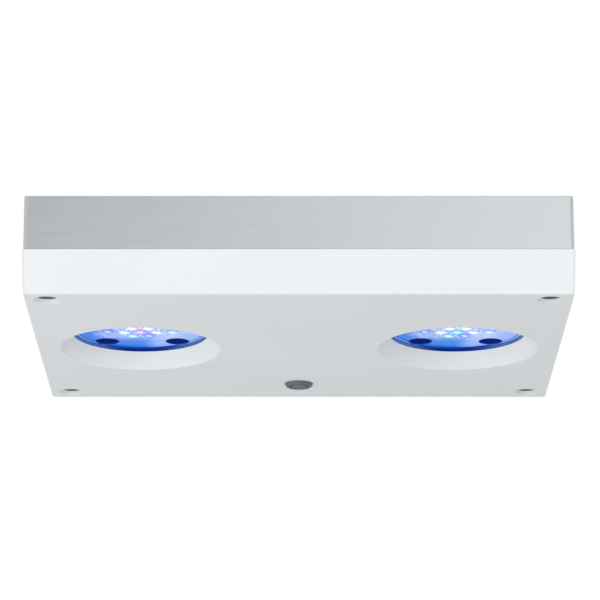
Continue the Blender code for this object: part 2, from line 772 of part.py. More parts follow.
def add_blade(bm, middle, angle):
    """A thin plate whose pitch flattens from root to tip, swung to its angle about the fan's axis."""
    root = HUB_RADIUS - HUB_WALL / 2
    half = Vector((0, BLADE_THICKNESS / 2, BLADE_CHORD / 2))
    made = bmesh.new()
    add_box(made, (root, -half.y, -half.z), (BLADE_TIP_RADIUS, half.y, half.z))
    span = [edge for edge in made.edges if abs(edge.verts[0].co.x - edge.verts[1].co.x) > root / 2]
    bmesh.ops.subdivide_edges(made, edges=span, cuts=3, use_grid_fill=True)
    for vert in made.verts:
        share = (vert.co.x - root) / (BLADE_TIP_RADIUS - root)
        pitch = BLADE_ROOT_PITCH + share * (BLADE_TIP_PITCH - BLADE_ROOT_PITCH)
        vert.co.yz = Matrix.Rotation(pitch, 2) @ vert.co.yz
        vert.co.z = middle + vert.co.z * 0.8
    bmesh.ops.triangulate(made, faces=made.faces)
    bmesh.ops.rotate(made, verts=made.verts, cent=(0, 0, 0), matrix=Matrix.Rotation(angle, 3, "Z"))
    blade = bpy.data.meshes.new("blade")
    made.to_mesh(blade)
    made.free()
    bm.from_mesh(blade)
    bpy.data.meshes.remove(blade)


def make_fan_screws(label, centre):
    """Countersunk screws, flush with the top plate."""
    profile = [
        (0, -0.0014),
        (0.0014, -0.0014),
        (0.0014, -0.0001),
        (0.0038, -0.0001),
        (0.0017, -0.0019),
        (0.0017, -0.0130),
        (0, -0.0130),
    ]
    for number, (x, y) in enumerate(corner_signs(), start=1):
        place = (*beside(centre, x * FAN_HOLE, y * FAN_HOLE), 0)
        turned(f"fan_screw_{label}_{number}", profile, "steel", place, steps=10)


def make_cover_screws():
    head = 0.0022
    face = FACE_Z + COUNTERBORE_DEPTH - CLEARANCE - head
    for label, (x, y) in CORNERS.items():
        place = (x * CORNER_X, y * CORNER_Y, face)
        name = f"cover_screw_{label}"
        screw(name, "steel", place, 0.0036, head, 0.0015, 0.0330, face_down=True, recess=0.0016)


def make_button():
    """The cap slides in the cover's hole, its stem pressing the switch's plunger along Z."""
    flange_top = COVER_FLOOR_Z + 0.0015
    tip = FACE_Z - BUTTON_PROUD
    switch_z = PCB_BOTTOM_Z - CLEARANCE
    plunger_tip = switch_z - 0.0038
    profile = [
        (0, plunger_tip - CLEARANCE),
        (0.0020, plunger_tip - CLEARANCE),
        (0.0020, flange_top),
        (BUTTON_FLANGE_RADIUS, flange_top),
        (BUTTON_FLANGE_RADIUS, COVER_FLOOR_Z + CLEARANCE),
        (BUTTON_RADIUS, COVER_FLOOR_Z + CLEARANCE),
        (BUTTON_RADIUS, FACE_Z),
        (BUTTON_TIP_RADIUS, tip),
        (BUTTON_GROOVE_RADIUS + 0.0005, tip),
        (BUTTON_GROOVE_RADIUS, tip + 0.0005),
        (BUTTON_GROOVE_RADIUS - 0.0005, tip),
        (0, tip),
    ]
    turned("button_cap", profile, "button_grey", (0, BUTTON_Y, 0), steps=24)
    profile = [(0, switch_z - 0.0016), (0.0017, switch_z - 0.0016), (0.0017, plunger_tip), (0, plunger_tip)]
    turned("switch_plunger", profile, "black_plastic", (0, BUTTON_Y, 0), steps=12)
    bm = bmesh.new()
    add_box(bm, (-0.0030, BUTTON_Y - 0.0030, switch_z - 0.0026), (0.0030, BUTTON_Y + 0.0030, switch_z))
    switch = mesh_object("tact_switch", bm, "black_plastic")
    bm = bmesh.new()
    add_round(bm, (0, BUTTON_Y), switch_z - 0.0030, switch_z - 0.0004, 0.0020, segments=12)
    cut(switch, bm, "bore")


def make_control_board():
    bm = bmesh.new()
    add_box(bm, (-PCB_HALF_X, PCB_FRONT_Y, PCB_BOTTOM_Z), (PCB_HALF_X, PCB_BACK_Y, PCB_TOP_Z))
    board = mesh_object("control_board", bm, "board_green")
    bm = bmesh.new()
    root_z = PCB_TOP_Z - OVERLAP
    for side in SIDES.values():
        for y in (MODULE_Y, FAN_CONNECTOR_Y):
            low = Vector((side * CONNECTOR_X - 0.0040, y - 0.0050, root_z))
            add_box(bm, low, (side * CONNECTOR_X + 0.0040, y + 0.0050, CONNECTOR_TOP_Z))
        add_round(bm, (side * 0.0130, 0.0380), root_z, PCB_TOP_Z + 0.0120, 0.0050)
        inductor = Vector((side * 0.0120, -0.0500, root_z))
        half = Vector((0.0060, 0.0060, 0))
        add_box(bm, inductor - half, inductor + half + Vector((0, 0, 0.0075)))
    low = (-0.0060, INLET_CONNECTOR_Y - 0.0040, root_z)
    add_box(bm, low, (0.0060, INLET_CONNECTOR_Y + 0.0040, CONNECTOR_TOP_Z))
    add_box(bm, (-0.0080, -0.0080, root_z), (0.0080, 0.0080, PCB_TOP_Z + 0.0015))
    add_box(bm, (-0.0030, 0.0180, root_z), (0.0030, 0.0230, PCB_TOP_Z + 0.0016))
    join(board, bm, "components")
    bm = bmesh.new()
    for place in control_board_screw_places():
        add_round(bm, place, PCB_BOTTOM_Z - OVERLAP, PCB_TOP_Z + OVERLAP, SCREW_HOLE_RADIUS, segments=12)
    cut(board, bm, "screw_holes")
    head = 0.0017
    top = PCB_TOP_Z + CLEARANCE + head
    for number, place in enumerate(control_board_screw_places(), start=1):
        screw(f"board_screw_{number}", "steel", (*place, top), 0.0026, head, SHANK_RADIUS, 0.0085)


def make_power_inlet():
    """A panel socket with a centre pin, turned about Y, and its nut outside the rear wall."""
    wall = HOUSING_Y
    to_rear = (-math.pi / 2, 0, 0)
    shoulder = -(SHEET + CLEARANCE)
    profile = [
        (0, INLET_PROUD - 0.0020),
        (SOCKET_PIN_RADIUS, INLET_PROUD - 0.0020),
        (SOCKET_PIN_RADIUS, INLET_PROUD - SOCKET_DEPTH),
        (SOCKET_RADIUS, INLET_PROUD - SOCKET_DEPTH),
        (SOCKET_RADIUS, INLET_PROUD),
        (INLET_BUSH_RADIUS, INLET_PROUD),
        (INLET_BUSH_RADIUS, shoulder),
        (INLET_BODY_RADIUS, shoulder),
        (INLET_BODY_RADIUS, shoulder - INLET_BODY_LENGTH),
        (0, shoulder - INLET_BODY_LENGTH),
    ]
    turned("power_inlet", profile, "black_plastic", (0, wall, INLET_Z), to_rear, steps=20)
    bm = bmesh.new()
    add_round(bm, (0, 0), CLEARANCE, CLEARANCE + NUT_THICKNESS, NUT_RADIUS, segments=6)
    nut = mesh_object("inlet_nut", bm, "steel")
    nut.location = (0, wall, INLET_Z)
    nut.rotation_euler = to_rear
    bm = bmesh.new()
    add_round(bm, (0, 0), 0, 2 * NUT_THICKNESS, INLET_BUSH_RADIUS + CLEARANCE, segments=24)
    cut(nut, bm, "hole")


def make_hanger_nuts():
    """Flush blind inserts, clenched under the top plate, that hanging screws go into."""
    bulge = HANGER_BARREL_RADIUS + 0.0012
    profile = [
        (0, HANGER_BOTTOM_Z + HANGER_FLOOR),
        (HANGER_THREAD_RADIUS, HANGER_BOTTOM_Z + HANGER_FLOOR),
        (HANGER_THREAD_RADIUS, 0),
        (HANGER_FLANGE_RADIUS, 0),
        (HANGER_FLANGE_RADIUS, -HANGER_FLANGE_THICKNESS),
        (HANGER_BARREL_RADIUS, -HANGER_FLANGE_THICKNESS),
        (HANGER_BARREL_RADIUS, PLATE_UNDER_Z - CLEARANCE),
        (bulge, PLATE_UNDER_Z - 0.0008),
        (HANGER_BARREL_RADIUS, PLATE_UNDER_Z - 0.0022),
        (HANGER_BARREL_RADIUS, HANGER_BOTTOM_Z),
        (0, HANGER_BOTTOM_Z),
    ]
    for label, (x, y) in CORNERS.items():
        turned(f"hanger_nut_{label}", profile, "steel", (x * HANGER_X, y * HANGER_Y, 0), steps=12)


def lead(name, route):
    """A sleeved lead on one smooth curve through its route's points."""
    points = [Vector(point) for point in route]
    earlier = [points[0], *points]
    later = [*points[2:], points[-1]]
    smooth = [points[0]]
    for before, first, second, after in zip(earlier, points, points[1:], later):
        reach = (second - first).length / 3
        leave = first + (second - before).normalized() * reach
        arrive = second - (after - first).normalized() * reach
        smooth += interpolate_bezier(first, leave, arrive, second, 4)[1:]
    data = bpy.data.curves.new(name, "CURVE")
    data.dimensions = "3D"
    spline = data.splines.new("POLY")
    spline.points.add(len(smooth) - 1)
    for point, place in zip(spline.points, smooth):
        point.co = (*place, 1)
    data.bevel_depth = LEAD_RADIUS
    data.bevel_resolution = 2
    data.use_fill_caps = True
    add_object(name, data, "lead_sleeve")


def make_leads():
    """Leads from the LED boards, the fans and the inlet to the control board's connectors."""
    for label, side in SIDES.items():
        edge = MODULE_X - BOARD_RADIUS
        plug_x = CONNECTOR_X + 0.0040 + CLEARANCE
        solder_z = BOARD_BOTTOM_Z - CLEARANCE - LEAD_RADIUS
        route = [
            (side * (edge + 0.0080), MODULE_Y, solder_z),
            (side * edge, MODULE_Y, solder_z),
            (side * (edge - 0.0080), MODULE_Y + 0.0015, solder_z - 0.0010),
            (side * (plug_x + 0.0040), MODULE_Y, PCB_TOP_Z + 0.0026),
            (side * plug_x, MODULE_Y, PCB_TOP_Z + 0.0026),
        ]
        lead(f"led_lead_{label}", route)
        frame_x = MODULE_X - FAN_HALF - CLEARANCE
        route = [
            (side * frame_x, -0.0100, FAN_BOTTOM_Z + 0.0050),
            (side * (frame_x - 0.0080), -0.0110, FAN_BOTTOM_Z + 0.0040),
            (side * (CONNECTOR_X + 0.0100), -0.0180, FAN_BOTTOM_Z - 0.0050),
            (side * CONNECTOR_X, FAN_CONNECTOR_Y, CONNECTOR_TOP_Z + 0.0080),
            (side * CONNECTOR_X, FAN_CONNECTOR_Y, CONNECTOR_TOP_Z + CLEARANCE),
        ]
        lead(f"fan_lead_{label}", route)
    rear = HOUSING_Y - SHEET - INLET_BODY_LENGTH - 2 * CLEARANCE
    route = [
        (0, rear, INLET_Z),
        (0, rear - 0.0070, INLET_Z - 0.0010),
        (0, rear - 0.0180, INLET_Z - 0.0080),
        (0, INLET_CONNECTOR_Y, CONNECTOR_TOP_Z + 0.0060),
        (0, INLET_CONNECTOR_Y, CONNECTOR_TOP_Z + CLEARANCE),
    ]
    lead("inlet_lead", route)


def make_modules():
    for label, side in SIDES.items():
        centre = module_centre(side)
        make_lens_seal(label, centre)
        make_lens_plate(label, centre)
        make_lens_screws(label, centre)
        make_led_board(label, centre)
        make_heat_sink(label, centre)
        make_sink_screws(label, centre)
        make_fan_frame(label, centre)
        make_fan_impeller(label, centre)
        make_fan_screws(label, centre)


clear_scene()
PARTS = new_collection("led_aquarium_light")
TOOLS = new_collection("tools")
MATERIALS = {name: material(name) for name in FINISHES}
make_top_housing()
make_bottom_cover()
make_cover_seal()
make_cover_screws()
make_modules()
make_control_board()
make_button()
make_power_inlet()
make_hanger_nuts()
make_leads()
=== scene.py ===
"""Looks of the hanging LED aquarium light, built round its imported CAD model.

X is the length, Y the depth with the front at -Y, and Z is up. Everything is in metres.
"""

import json
import math

import bmesh
import bpy
from mathutils import Matrix, Vector


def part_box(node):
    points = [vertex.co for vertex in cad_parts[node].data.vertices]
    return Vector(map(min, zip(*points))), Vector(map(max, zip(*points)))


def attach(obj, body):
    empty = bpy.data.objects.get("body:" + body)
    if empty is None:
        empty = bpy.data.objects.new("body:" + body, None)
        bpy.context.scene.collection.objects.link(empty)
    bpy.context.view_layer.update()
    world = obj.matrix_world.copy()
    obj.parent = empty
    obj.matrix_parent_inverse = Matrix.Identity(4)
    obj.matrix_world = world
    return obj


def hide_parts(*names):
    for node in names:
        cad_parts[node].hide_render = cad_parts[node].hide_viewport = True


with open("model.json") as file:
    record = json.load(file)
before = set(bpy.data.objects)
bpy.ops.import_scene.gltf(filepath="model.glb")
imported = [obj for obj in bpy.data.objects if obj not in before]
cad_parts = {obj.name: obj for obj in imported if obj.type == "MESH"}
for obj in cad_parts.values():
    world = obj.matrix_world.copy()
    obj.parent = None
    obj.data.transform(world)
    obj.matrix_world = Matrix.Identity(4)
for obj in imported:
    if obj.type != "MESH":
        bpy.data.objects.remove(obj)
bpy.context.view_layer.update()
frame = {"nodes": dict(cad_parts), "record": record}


def middle(box):
    return (box[0] + box[1]) / 2


# Places that the pieces take from the CAD model.
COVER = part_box("bottom_cover")
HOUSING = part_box("top_housing")
FACE_Z = COVER[0].z
SIDES = ("left", "right")
CORNERS = ("front_left", "front_right", "back_left", "back_right")
MODULES = {side: middle(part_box(f"lens_plate_{side}")) for side in SIDES}
FANS = {side: middle(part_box(f"fan_frame_{side}")) for side in SIDES}
COVER_SCREWS = {corner: middle(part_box(f"cover_screw_{corner}")) for corner in CORNERS}
HANGERS = {corner: middle(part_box(f"hanger_nut_{corner}")) for corner in CORNERS}
BUTTON = middle(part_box("button_cap"))

# Sizes that the pieces share with the CAD model.
CLEARANCE = 0.0003
SHEET = 0.0020
HOUSING_CORNER = 0.0014
COVER_SEAM_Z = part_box("cover_seal")[0].z - CLEARANCE
COVER_DRAFT = 0.0011
COVER_CORNER = 0.0020
COVER_EDGE = 0.0005
COVER_WALL = 0.0026
MOUTH_RADIUS = 0.0480
THROAT_RADIUS = 0.0408
THROAT_RISE = 0.0097
LENS_RADIUS = 0.0455
LENS_FRONT_RISE = 0.0116
SEAL_MIDDLE_RISE = (THROAT_RISE + LENS_FRONT_RISE) / 2
LENS_THICKNESS = 0.0025
WELL_RADIUS = 0.0069
LED_PITCH = 0.0097
LED_ROW = 0.0084
DOME_RADIUS = 0.0043
DOME_HEIGHT = 0.0016
DIMPLE_RADIUS = 0.0075
DIMPLE_DEPTH = 0.0022
DIMPLE_FLOOR_RADIUS = 0.0063
COUNTERBORE_RADIUS = 0.0061
COUNTERBORE_DEPTH = 0.0060
DISH_RADIUS = 0.0140
DISH_DEPTH = 0.0004
BUTTON_HOLE_RADIUS = 0.0087
BUTTON_RADIUS = 0.0084
BUTTON_TIP_RADIUS = 0.0079
BUTTON_GROOVE_RADIUS = 0.0053
FAN_HALF = 0.0400
DUCT_RADIUS = 0.0380
HUB_RADIUS = 0.0170
BLADE_TIP_RADIUS = 0.0363
SLOTS = 11
SLOT_PITCH = 0.0064
SLOT_HALF_WIDTH = 0.0016
SLOT_FIELD_RADIUS = 0.0375
VENTS = 13
VENT_PITCH = 0.0080
VENT_HALF_WIDTH = 0.0012
VENT_HALF_HEIGHT = 0.0085
VENT_Z = -0.0170
INLET_Z = -0.0160
INLET_BUSH_RADIUS = 0.0055
HANGER_FLANGE_RADIUS = 0.0060
HANGER_BARREL_RADIUS = 0.0042

# Colours, as linear light.
ALUMINIUM = (0.56, 0.585, 0.60)
COVER_WHITE = (0.868, 0.898, 0.912)
# Painted light: PALE_BLUE, HAZE_BLUE and LENS_BLUES are glow colours of the lens plates, as if lit through by
# their LEDs.
PALE_BLUE = (0.360, 0.480, 0.780)
HAZE_BLUE = (0.500, 0.540, 0.820)
LENS_BLUES = {"left": (0.010, 0.148, 0.590), "right": (0.006, 0.160, 0.545)}

# Colour of each LED, in the order of led_places(), for each module.
LED_COLOURS = {
    "left": ("blue", "white", "pink", "white", "cyan", "cyan", "blue", "white", "white"),
    "right": ("blue", "white", "green", "white", "cyan", "cyan", "blue", "white", "white"),
}
LED_TINTS = {
    "blue": (0.02, 0.15, 0.75),
    "white": (0.72, 0.74, 0.98),
    "pink": (0.88, 0.16, 0.76),
    "cyan": (0.18, 0.62, 0.95),
    "green": (0.02, 0.85, 0.38),
}


# ---- Geometry helpers ----


def soften(profile, size, steps=4):
    """The profile with each inner corner rounded off, by at most size or 0.45 of the run beside it."""
    points = [Vector(point) for point in profile]
    rounded = [points[0]]
    for before, corner, after in zip(points, points[1:], points[2:]):
        start = corner + (before - corner).normalized() * min(size, 0.45 * (before - corner).length)
        end = corner + (after - corner).normalized() * min(size, 0.45 * (after - corner).length)
        for step in range(steps + 1):
            share = step / steps
            rounded.append(start.lerp(corner, share).lerp(corner.lerp(end, share), share))
    return rounded + [points[-1]]


def ring(bm, radius, height, segments, centre=(0, 0)):
    """Vertices of a level circle."""
    turns = [math.tau * step / segments for step in range(segments)]
    x, y = centre[0], centre[1]
    return [bm.verts.new((x + radius * math.cos(a), y + radius * math.sin(a), height)) for a in turns]


def loft(bm, rings, closed=False):
    """Skins a tube through rings of vertices. It is capped, or joined end to end if closed."""
    pairs = list(zip(rings, rings[1:])) + [(rings[-1], rings[0])] * closed
    for low, high in pairs:
        for index in range(len(low)):
            after = (index + 1) % len(low)
            bm.faces.new((low[index], low[after], high[after], high[index]))
    if not closed:
        bm.faces.new(rings[0][::-1])
        bm.faces.new(rings[-1])


def turned(bm, profile, segments=64, centre=(0, 0), closed=False):
    """A profile of (radius, height) points turned about the vertical through centre."""
    loft(bm, [ring(bm, point[0], point[1], segments, centre) for point in profile], closed)


def slot_ring(bm, place, along, across, half_length, half_width, steps=8):
    """Vertices of a round-ended slot's outline at a place, with its long way and its short way."""
    verts = []
    for end in (1, -1):
        for step in range(steps + 1):
            turn = math.pi * (step / steps - 0.5) + (0 if end == 1 else math.pi)
            reach = end * (half_length - half_width) + half_width * math.cos(turn)
            verts.append(bm.verts.new(place + along * reach + across * half_width * math.sin(turn)))
    return verts


def slot(bm, face, inward, along, half_length, half_width, depth):
    """A tool for a slot with a chamfered edge. face is its middle, on the outer surface."""
    chamfer = 0.00025
    across = inward.cross(along)
    levels = ((-chamfer, 2 * chamfer), (0, chamfer), (chamfer, 0), (depth, 0))
    rings = []
    for level, grow in levels:
        size = (half_length + grow, half_width + grow)
        rings.append(slot_ring(bm, face + inward * level, along, across, *size))
    loft(bm, rings)


def box(bm, low, high):
    size = [b - a for a, b in zip(low, high)]
    centre = [(a + b) / 2 for a, b in zip(low, high)]
    matrix = Matrix.Translation(centre) @ Matrix.Diagonal((*size, 1))
    return bmesh.ops.create_cube(bm, size=1, matrix=matrix)["verts"]


def plan_box(bm, half_x, half_y, low, high):
    return box(bm, (-half_x, -half_y, low), (half_x, half_y, high))


def rounded_block(half_x, half_y, low, high, corner, draft=0.0, low_edge=0.0, high_edge=0.0):
    """A block with round upright corners and softened edges, drawn in by the draft at its low end."""
    bm = bmesh.new()
    for vert in plan_box(bm, half_x, half_y, low, high):
        if vert.co.z < (low + high) / 2:
            vert.co.x -= math.copysign(draft, vert.co.x)
            vert.co.y -= math.copysign(draft, vert.co.y)
    centre = (low + high) / 2
    upright = [e for e in bm.edges if (e.verts[0].co.z < centre) != (e.verts[1].co.z < centre)]
    bmesh.ops.bevel(bm, geom=upright, offset=corner, segments=8, profile=0.5, affect="EDGES")
    for width, below in ((low_edge, True), (high_edge, False)):
        if width:
            rim = [e for e in bm.edges if all((v.co.z < centre) == below for v in e.verts)]
            bmesh.ops.bevel(bm, geom=rim, offset=width, segments=4, profile=0.5, affect="EDGES")
    return bm


def draft_object(bm, name="draft"):
    """A loose object of the mesh, for modifiers to work on."""
    bmesh.ops.recalc_face_normals(bm, faces=bm.faces)
    data = bpy.data.meshes.new(name)
    bm.to_mesh(data)
    bm.free()
    obj = bpy.data.objects.new(name, data)
    bpy.context.scene.collection.objects.link(obj)
    return obj


def settle(obj):
    """Applies the object's modifiers to its mesh."""
    graph = bpy.context.evaluated_depsgraph_get()
    mesh = bpy.data.meshes.new_from_object(obj.evaluated_get(graph), depsgraph=graph)
    obj.modifiers.clear()
    obj.data = mesh


def carve(obj, bm, operation="DIFFERENCE"):
    """Cuts a mesh out of the object, or joins or intersects it."""
    tool = draft_object(bm, "tool")
    modifier = obj.modifiers.new("carve", "BOOLEAN")
    modifier.operation = operation
    modifier.solver = "EXACT"
    modifier.object = tool
    settle(obj)
    bpy.data.objects.remove(tool)


def polish(obj, *materials):
    """Smooth shading that keeps flat faces flat and edges crisp. It returns the finished mesh."""
    obj.data.shade_smooth()
    obj.data.set_sharp_from_angle(angle=math.radians(32))
    weighted = obj.modifiers.new("normals", "WEIGHTED_NORMAL")
    weighted.mode = "FACE_AREA"
    weighted.keep_sharp = True
    settle(obj)
    mesh = obj.data
    mesh.materials.clear()
    for material in materials:
        mesh.materials.append(material)
    bpy.data.objects.remove(obj)
    return mesh


def place(name, mesh, where, slot_name, stands_for=(), body="case", turn=(0, 0, 0)):
    """A shown piece with this mesh, riding on a CAD body and standing for CAD nodes."""
    piece = bpy.data.objects.new(name, mesh)
    bpy.context.scene.collection.objects.link(piece)
    piece.location = where
    piece.rotation_euler = turn
    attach(piece, body)
    if stands_for:
        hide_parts(*stands_for)
    return piece


def led_places():
    """Places of the nine LEDs about a module's centre: a row of five between two pairs."""
    row = [(step * LED_PITCH, 0) for step in range(-2, 3)]
    pairs = [(x * LED_PITCH / 2, y * LED_ROW) for y in (1, -1) for x in (-1, 1)]
    return row + pairs


# ---- Materials ----


class Finish:
    """One procedural material, made round a Principled shader."""

    def __init__(self, name, **settings):
        self.material = bpy.data.materials.new(name)
        self.material.use_nodes = True
        self.tree = self.material.node_tree
        self.shader = self.tree.nodes["Principled BSDF"]
        for socket, value in settings.items():
            self.set(self.shader.inputs[socket.replace("_", " ")], value)

    def set(self, socket, value):
        if isinstance(value, bpy.types.NodeSocket):
            self.tree.links.new(value, socket)
        elif socket.type == "RGBA":
            socket.default_value = (*value, 1)
        else:
            socket.default_value = value

    def wire(self, **settings):
        """Feeds the shader's sockets, with _ for each space in their names."""
        for socket, value in settings.items():
            self.set(self.shader.inputs[socket.replace("_", " ")], value)

    def node(self, kind, inputs, output=0, **settings):
        """Adds a node and returns one of its outputs."""
        made = self.tree.nodes.new(kind)
        for name, value in settings.items():
            setattr(made, name, value)
        for key, value in inputs.items():
            self.set(made.inputs[key], value)
        return made.outputs[output]

    def position(self):
        return self.node("ShaderNodeTexCoord", {}, "Object")

    def stretched(self, scale):
        """Object coordinates multiplied by a scale for each axis, in repeats per metre."""
        return self.node("ShaderNodeMapping", {"Vector": self.position(), "Scale": scale})

    def noise(self, scale, low=0.0, high=1.0, detail=3.0):
        """Noise between low and high, at a scale for each axis."""
        vector = self.stretched(scale)
        value = self.node("ShaderNodeTexNoise", {"Vector": vector, "Scale": 1.0, "Detail": detail})
        return self.remap(value, (0.3, 0.7), (low, high))

    def remap(self, value, source, target, smooth=False):
        ranges = {1: source[0], 2: source[1], 3: target[0], 4: target[1]}
        kind = "SMOOTHSTEP" if smooth else "LINEAR"
        return self.node("ShaderNodeMapRange", {0: value, **ranges}, interpolation_type=kind)

    def blend(self, share, first, second):
        """One colour turning into another."""
        inputs = {0: share, 6: first, 7: second}
        return self.node("ShaderNodeMix", inputs, 2, data_type="RGBA")

    def calculate(self, operation, first, second=0.0):
        return self.node("ShaderNodeMath", {0: first, 1: second}, operation=operation)

    def vector(self, operation, first, second=(0, 0, 0), output=0):
        inputs = {0: first, 1: second}
        return self.node("ShaderNodeVectorMath", inputs, output, operation=operation)

    def part_of(self, vector, axis):
        return self.node("ShaderNodeSeparateXYZ", {0: vector}, axis)

    def distance_from_axis(self):
        """Distance from the object's own Z axis."""
        flat = self.vector("MULTIPLY", self.position(), (1, 1, 0))
        return self.vector("LENGTH", flat, output="Value")

    def past(self, axis, reach):
        """How far a point lies past reach along an axis, on either side of the middle."""
        along = self.calculate("ABSOLUTE", self.part_of(self.position(), axis))
        return self.calculate("SUBTRACT", along, reach)

    def bump(self, height, strength, distance):
        inputs = {"Height": height, "Strength": strength, "Distance": distance}
        self.wire(Normal=self.node("ShaderNodeBump", inputs))

    def edges(self, radius, low=0.02, high=0.25):
        """1 on edges and corners, and 0 away from them."""
        normal = self.node("ShaderNodeNewGeometry", {}, "Normal")
        rounded = self.node("ShaderNodeBevel", {"Radius": radius}, samples=4)
        alike = self.vector("DOT_PRODUCT", normal, rounded, output="Value")
        return self.remap(self.calculate("SUBTRACT", 1.0, alike), (low, high), (0.0, 1.0), smooth=True)


def brushed_aluminium():
    """Fine streaks that run lengthwise on the long faces and across the ends, with duller upright bends."""
    made = Finish("brushed_aluminium", Anisotropic=0.75)
    normal = made.node("ShaderNodeNewGeometry", {}, "Normal")
    on_end = made.remap(made.calculate("ABSOLUTE", made.part_of(normal, 0)), (0.6, 0.8), (0.0, 1.0))
    streaks = []
    for fine in (900.0, 2600.0):
        lengthwise = made.noise((0.02 * fine, fine, fine), detail=2.0)
        endwise = made.noise((fine, 0.02 * fine, fine), detail=2.0)
        mixed = made.node("ShaderNodeMix", {0: on_end, 2: lengthwise, 3: endwise}, data_type="FLOAT")
        streaks.append(mixed)
    streak = made.calculate("MULTIPLY", made.calculate("ADD", *streaks), 0.5)
    dull = made.noise((9.0, 30.0, 30.0), 0.0, 0.25)
    shade = made.calculate("ADD", streak, dull)
    low = [0.93 * value for value in ALUMINIUM]
    high = [1.06 * value for value in ALUMINIUM]
    colour = made.blend(made.remap(shade, (0.0, 1.2), (0.0, 1.0)), low, high)
    # A painted highlight: edges and corners are painted paler.
    colour = made.blend(made.edges(0.0005), colour, (0.74, 0.76, 0.77))
    past_bend = made.calculate("MINIMUM", made.past(0, HOUSING[1].x), made.past(1, HOUSING[1].y))
    at_bend = made.remap(past_bend, (-0.0022, -0.0012), (0.0, 1.0), smooth=True)
    worn = made.calculate("MULTIPLY", at_bend, 0.4)
    rough = made.calculate("ADD", made.remap(streak, (0.0, 1.0), (0.30, 0.40)), worn)
    made.wire(Base_Color=colour, Roughness=rough)
    made.wire(Metallic=made.remap(at_bend, (0.0, 1.0), (1.0, 0.25)))
    made.bump(streak, 0.10, 0.00002)
    tangent = made.vector("NORMALIZE", made.vector("CROSS_PRODUCT", normal, (0.0, -0.02, 1.0)))
    made.wire(Tangent=tangent)
    return made.material


def cover_plastic():
    """Satin white moulding with a very fine grain."""
    made = Finish("cover_plastic", IOR=1.48)
    cloud = made.noise((14.0, 14.0, 14.0))
    grain = made.noise((2400.0, 2400.0, 2400.0), detail=2.0)
    colour = made.blend(cloud, [0.985 * value for value in COVER_WHITE], COVER_WHITE)
    # A painted highlight: edges and corners are painted a touch paler.
    colour = made.blend(made.edges(0.0004), colour, (0.885, 0.905, 0.912))
    # Painted light: the flared recesses round the lenses are painted lighter than the underside.
    sideways = made.past(0, MODULES["right"].x)
    forward = made.calculate("SUBTRACT", made.part_of(made.position(), 1), MODULES["right"].y)
    off_axis = made.node("ShaderNodeCombineXYZ", {0: sideways, 1: forward})
    distance = made.vector("LENGTH", off_axis, output="Value")
    recess_painted_light = made.remap(distance, (MOUTH_RADIUS, MOUTH_RADIUS + 0.0008), (1.0, 0.0), smooth=True)
    colour = made.blend(recess_painted_light, colour, (0.940, 0.950, 0.905))
    speckle = made.remap(grain, (0, 1), (0.40, 0.48))
    rough = made.calculate("ADD", speckle, made.remap(cloud, (0, 1), (0, 0.05)))
    made.wire(Base_Color=colour, Roughness=rough)
    made.bump(grain, 0.12, 0.00002)
    return made.material


def lens_body(name, blue):
    """Clear plastic whose glow is painted light, as if lit through by the LEDs: a pale facetted haze round
    the row, and blue to the rim.
    """
    made = Finish(name, IOR=1.49, Specular_IOR_Level=0.05, Roughness=0.05, Emission_Strength=1.0)
    made.wire(Base_Color=made.blend(made.noise((60, 60, 60)), (0.01, 0.04, 0.20), (0.02, 0.06, 0.26)))
    place_in = made.position()
    sideways = made.calculate("ABSOLUTE", made.part_of(place_in, 0))
    past_row = made.calculate("MAXIMUM", made.calculate("SUBTRACT", sideways, 1.7 * LED_PITCH), 0.0)
    forward = made.calculate("MULTIPLY", made.calculate("SUBTRACT", made.part_of(place_in, 1), 0.0030), 0.7)
    off_row = made.node("ShaderNodeCombineXYZ", {0: past_row, 1: forward})
    distance = made.vector("LENGTH", off_row, output="Value")
    # Painted light: a pale glow round the row of LEDs, broken into painted glints by the facets.
    haze = made.remap(distance, (0.0040, 0.0160), (1.0, 0.0), smooth=True)
    cells = {"Vector": made.stretched((330, 230, 1)), "Scale": 1.0}
    facets = made.node("ShaderNodeTexVoronoi", cells, "Color")
    shine = made.remap(made.part_of(facets, 0), (0.0, 1.0), (0.30, 1.15))
    # Painted light: the glow turns paler towards the module's +X side.
    paling = made.remap(made.part_of(place_in, 0), (-0.001, 0.012), (0.0, 0.72), smooth=True)
    base = made.blend(paling, blue, PALE_BLUE)
    glow = made.blend(made.calculate("MULTIPLY", haze, shine), base, HAZE_BLUE)
    # A painted highlight: a pinkish white patch just in front of the middle LED.
    off_spot = made.vector("DISTANCE", place_in, (0.0, -0.0070, FACE_Z + LENS_FRONT_RISE), output="Value")
    painted_highlight_spot = made.remap(off_spot, (0.0020, 0.0062), (1.0, 0.0), smooth=True)
    glow = made.blend(painted_highlight_spot, glow, (0.97, 0.84, 0.98))
    # Painted shade: the glow darkens to navy towards the rim, less so at the left and right tips.
    out = made.distance_from_axis()
    at_tips = made.remap(sideways, (0.0180, 0.0320), (0.0, 1.0), smooth=True)
    rim = made.remap(out, (0.0366, 0.0384), (0.0, 1.0), smooth=True)
    rim = made.calculate("MULTIPLY", rim, made.remap(at_tips, (0.0, 1.0), (1.0, 0.55)))
    glow = made.blend(rim, glow, (0.001, 0.026, 0.200))
    # A painted highlight: a pale ring at the throat's lip, shown only towards the left and right tips.
    off_line = made.calculate("ABSOLUTE", made.calculate("SUBTRACT", out, 0.0393))
    painted_lip_highlight = made.remap(off_line, (0.0002, 0.0007), (0.80, 0.0), smooth=True)
    painted_lip_highlight = made.calculate("MULTIPLY", painted_lip_highlight, at_tips)
    made.wire(Emission_Color=made.blend(painted_lip_highlight, glow, PALE_BLUE))
    made.bump(made.noise((160.0, 160.0, 160.0)), 0.05, 0.0002)
    return made.material


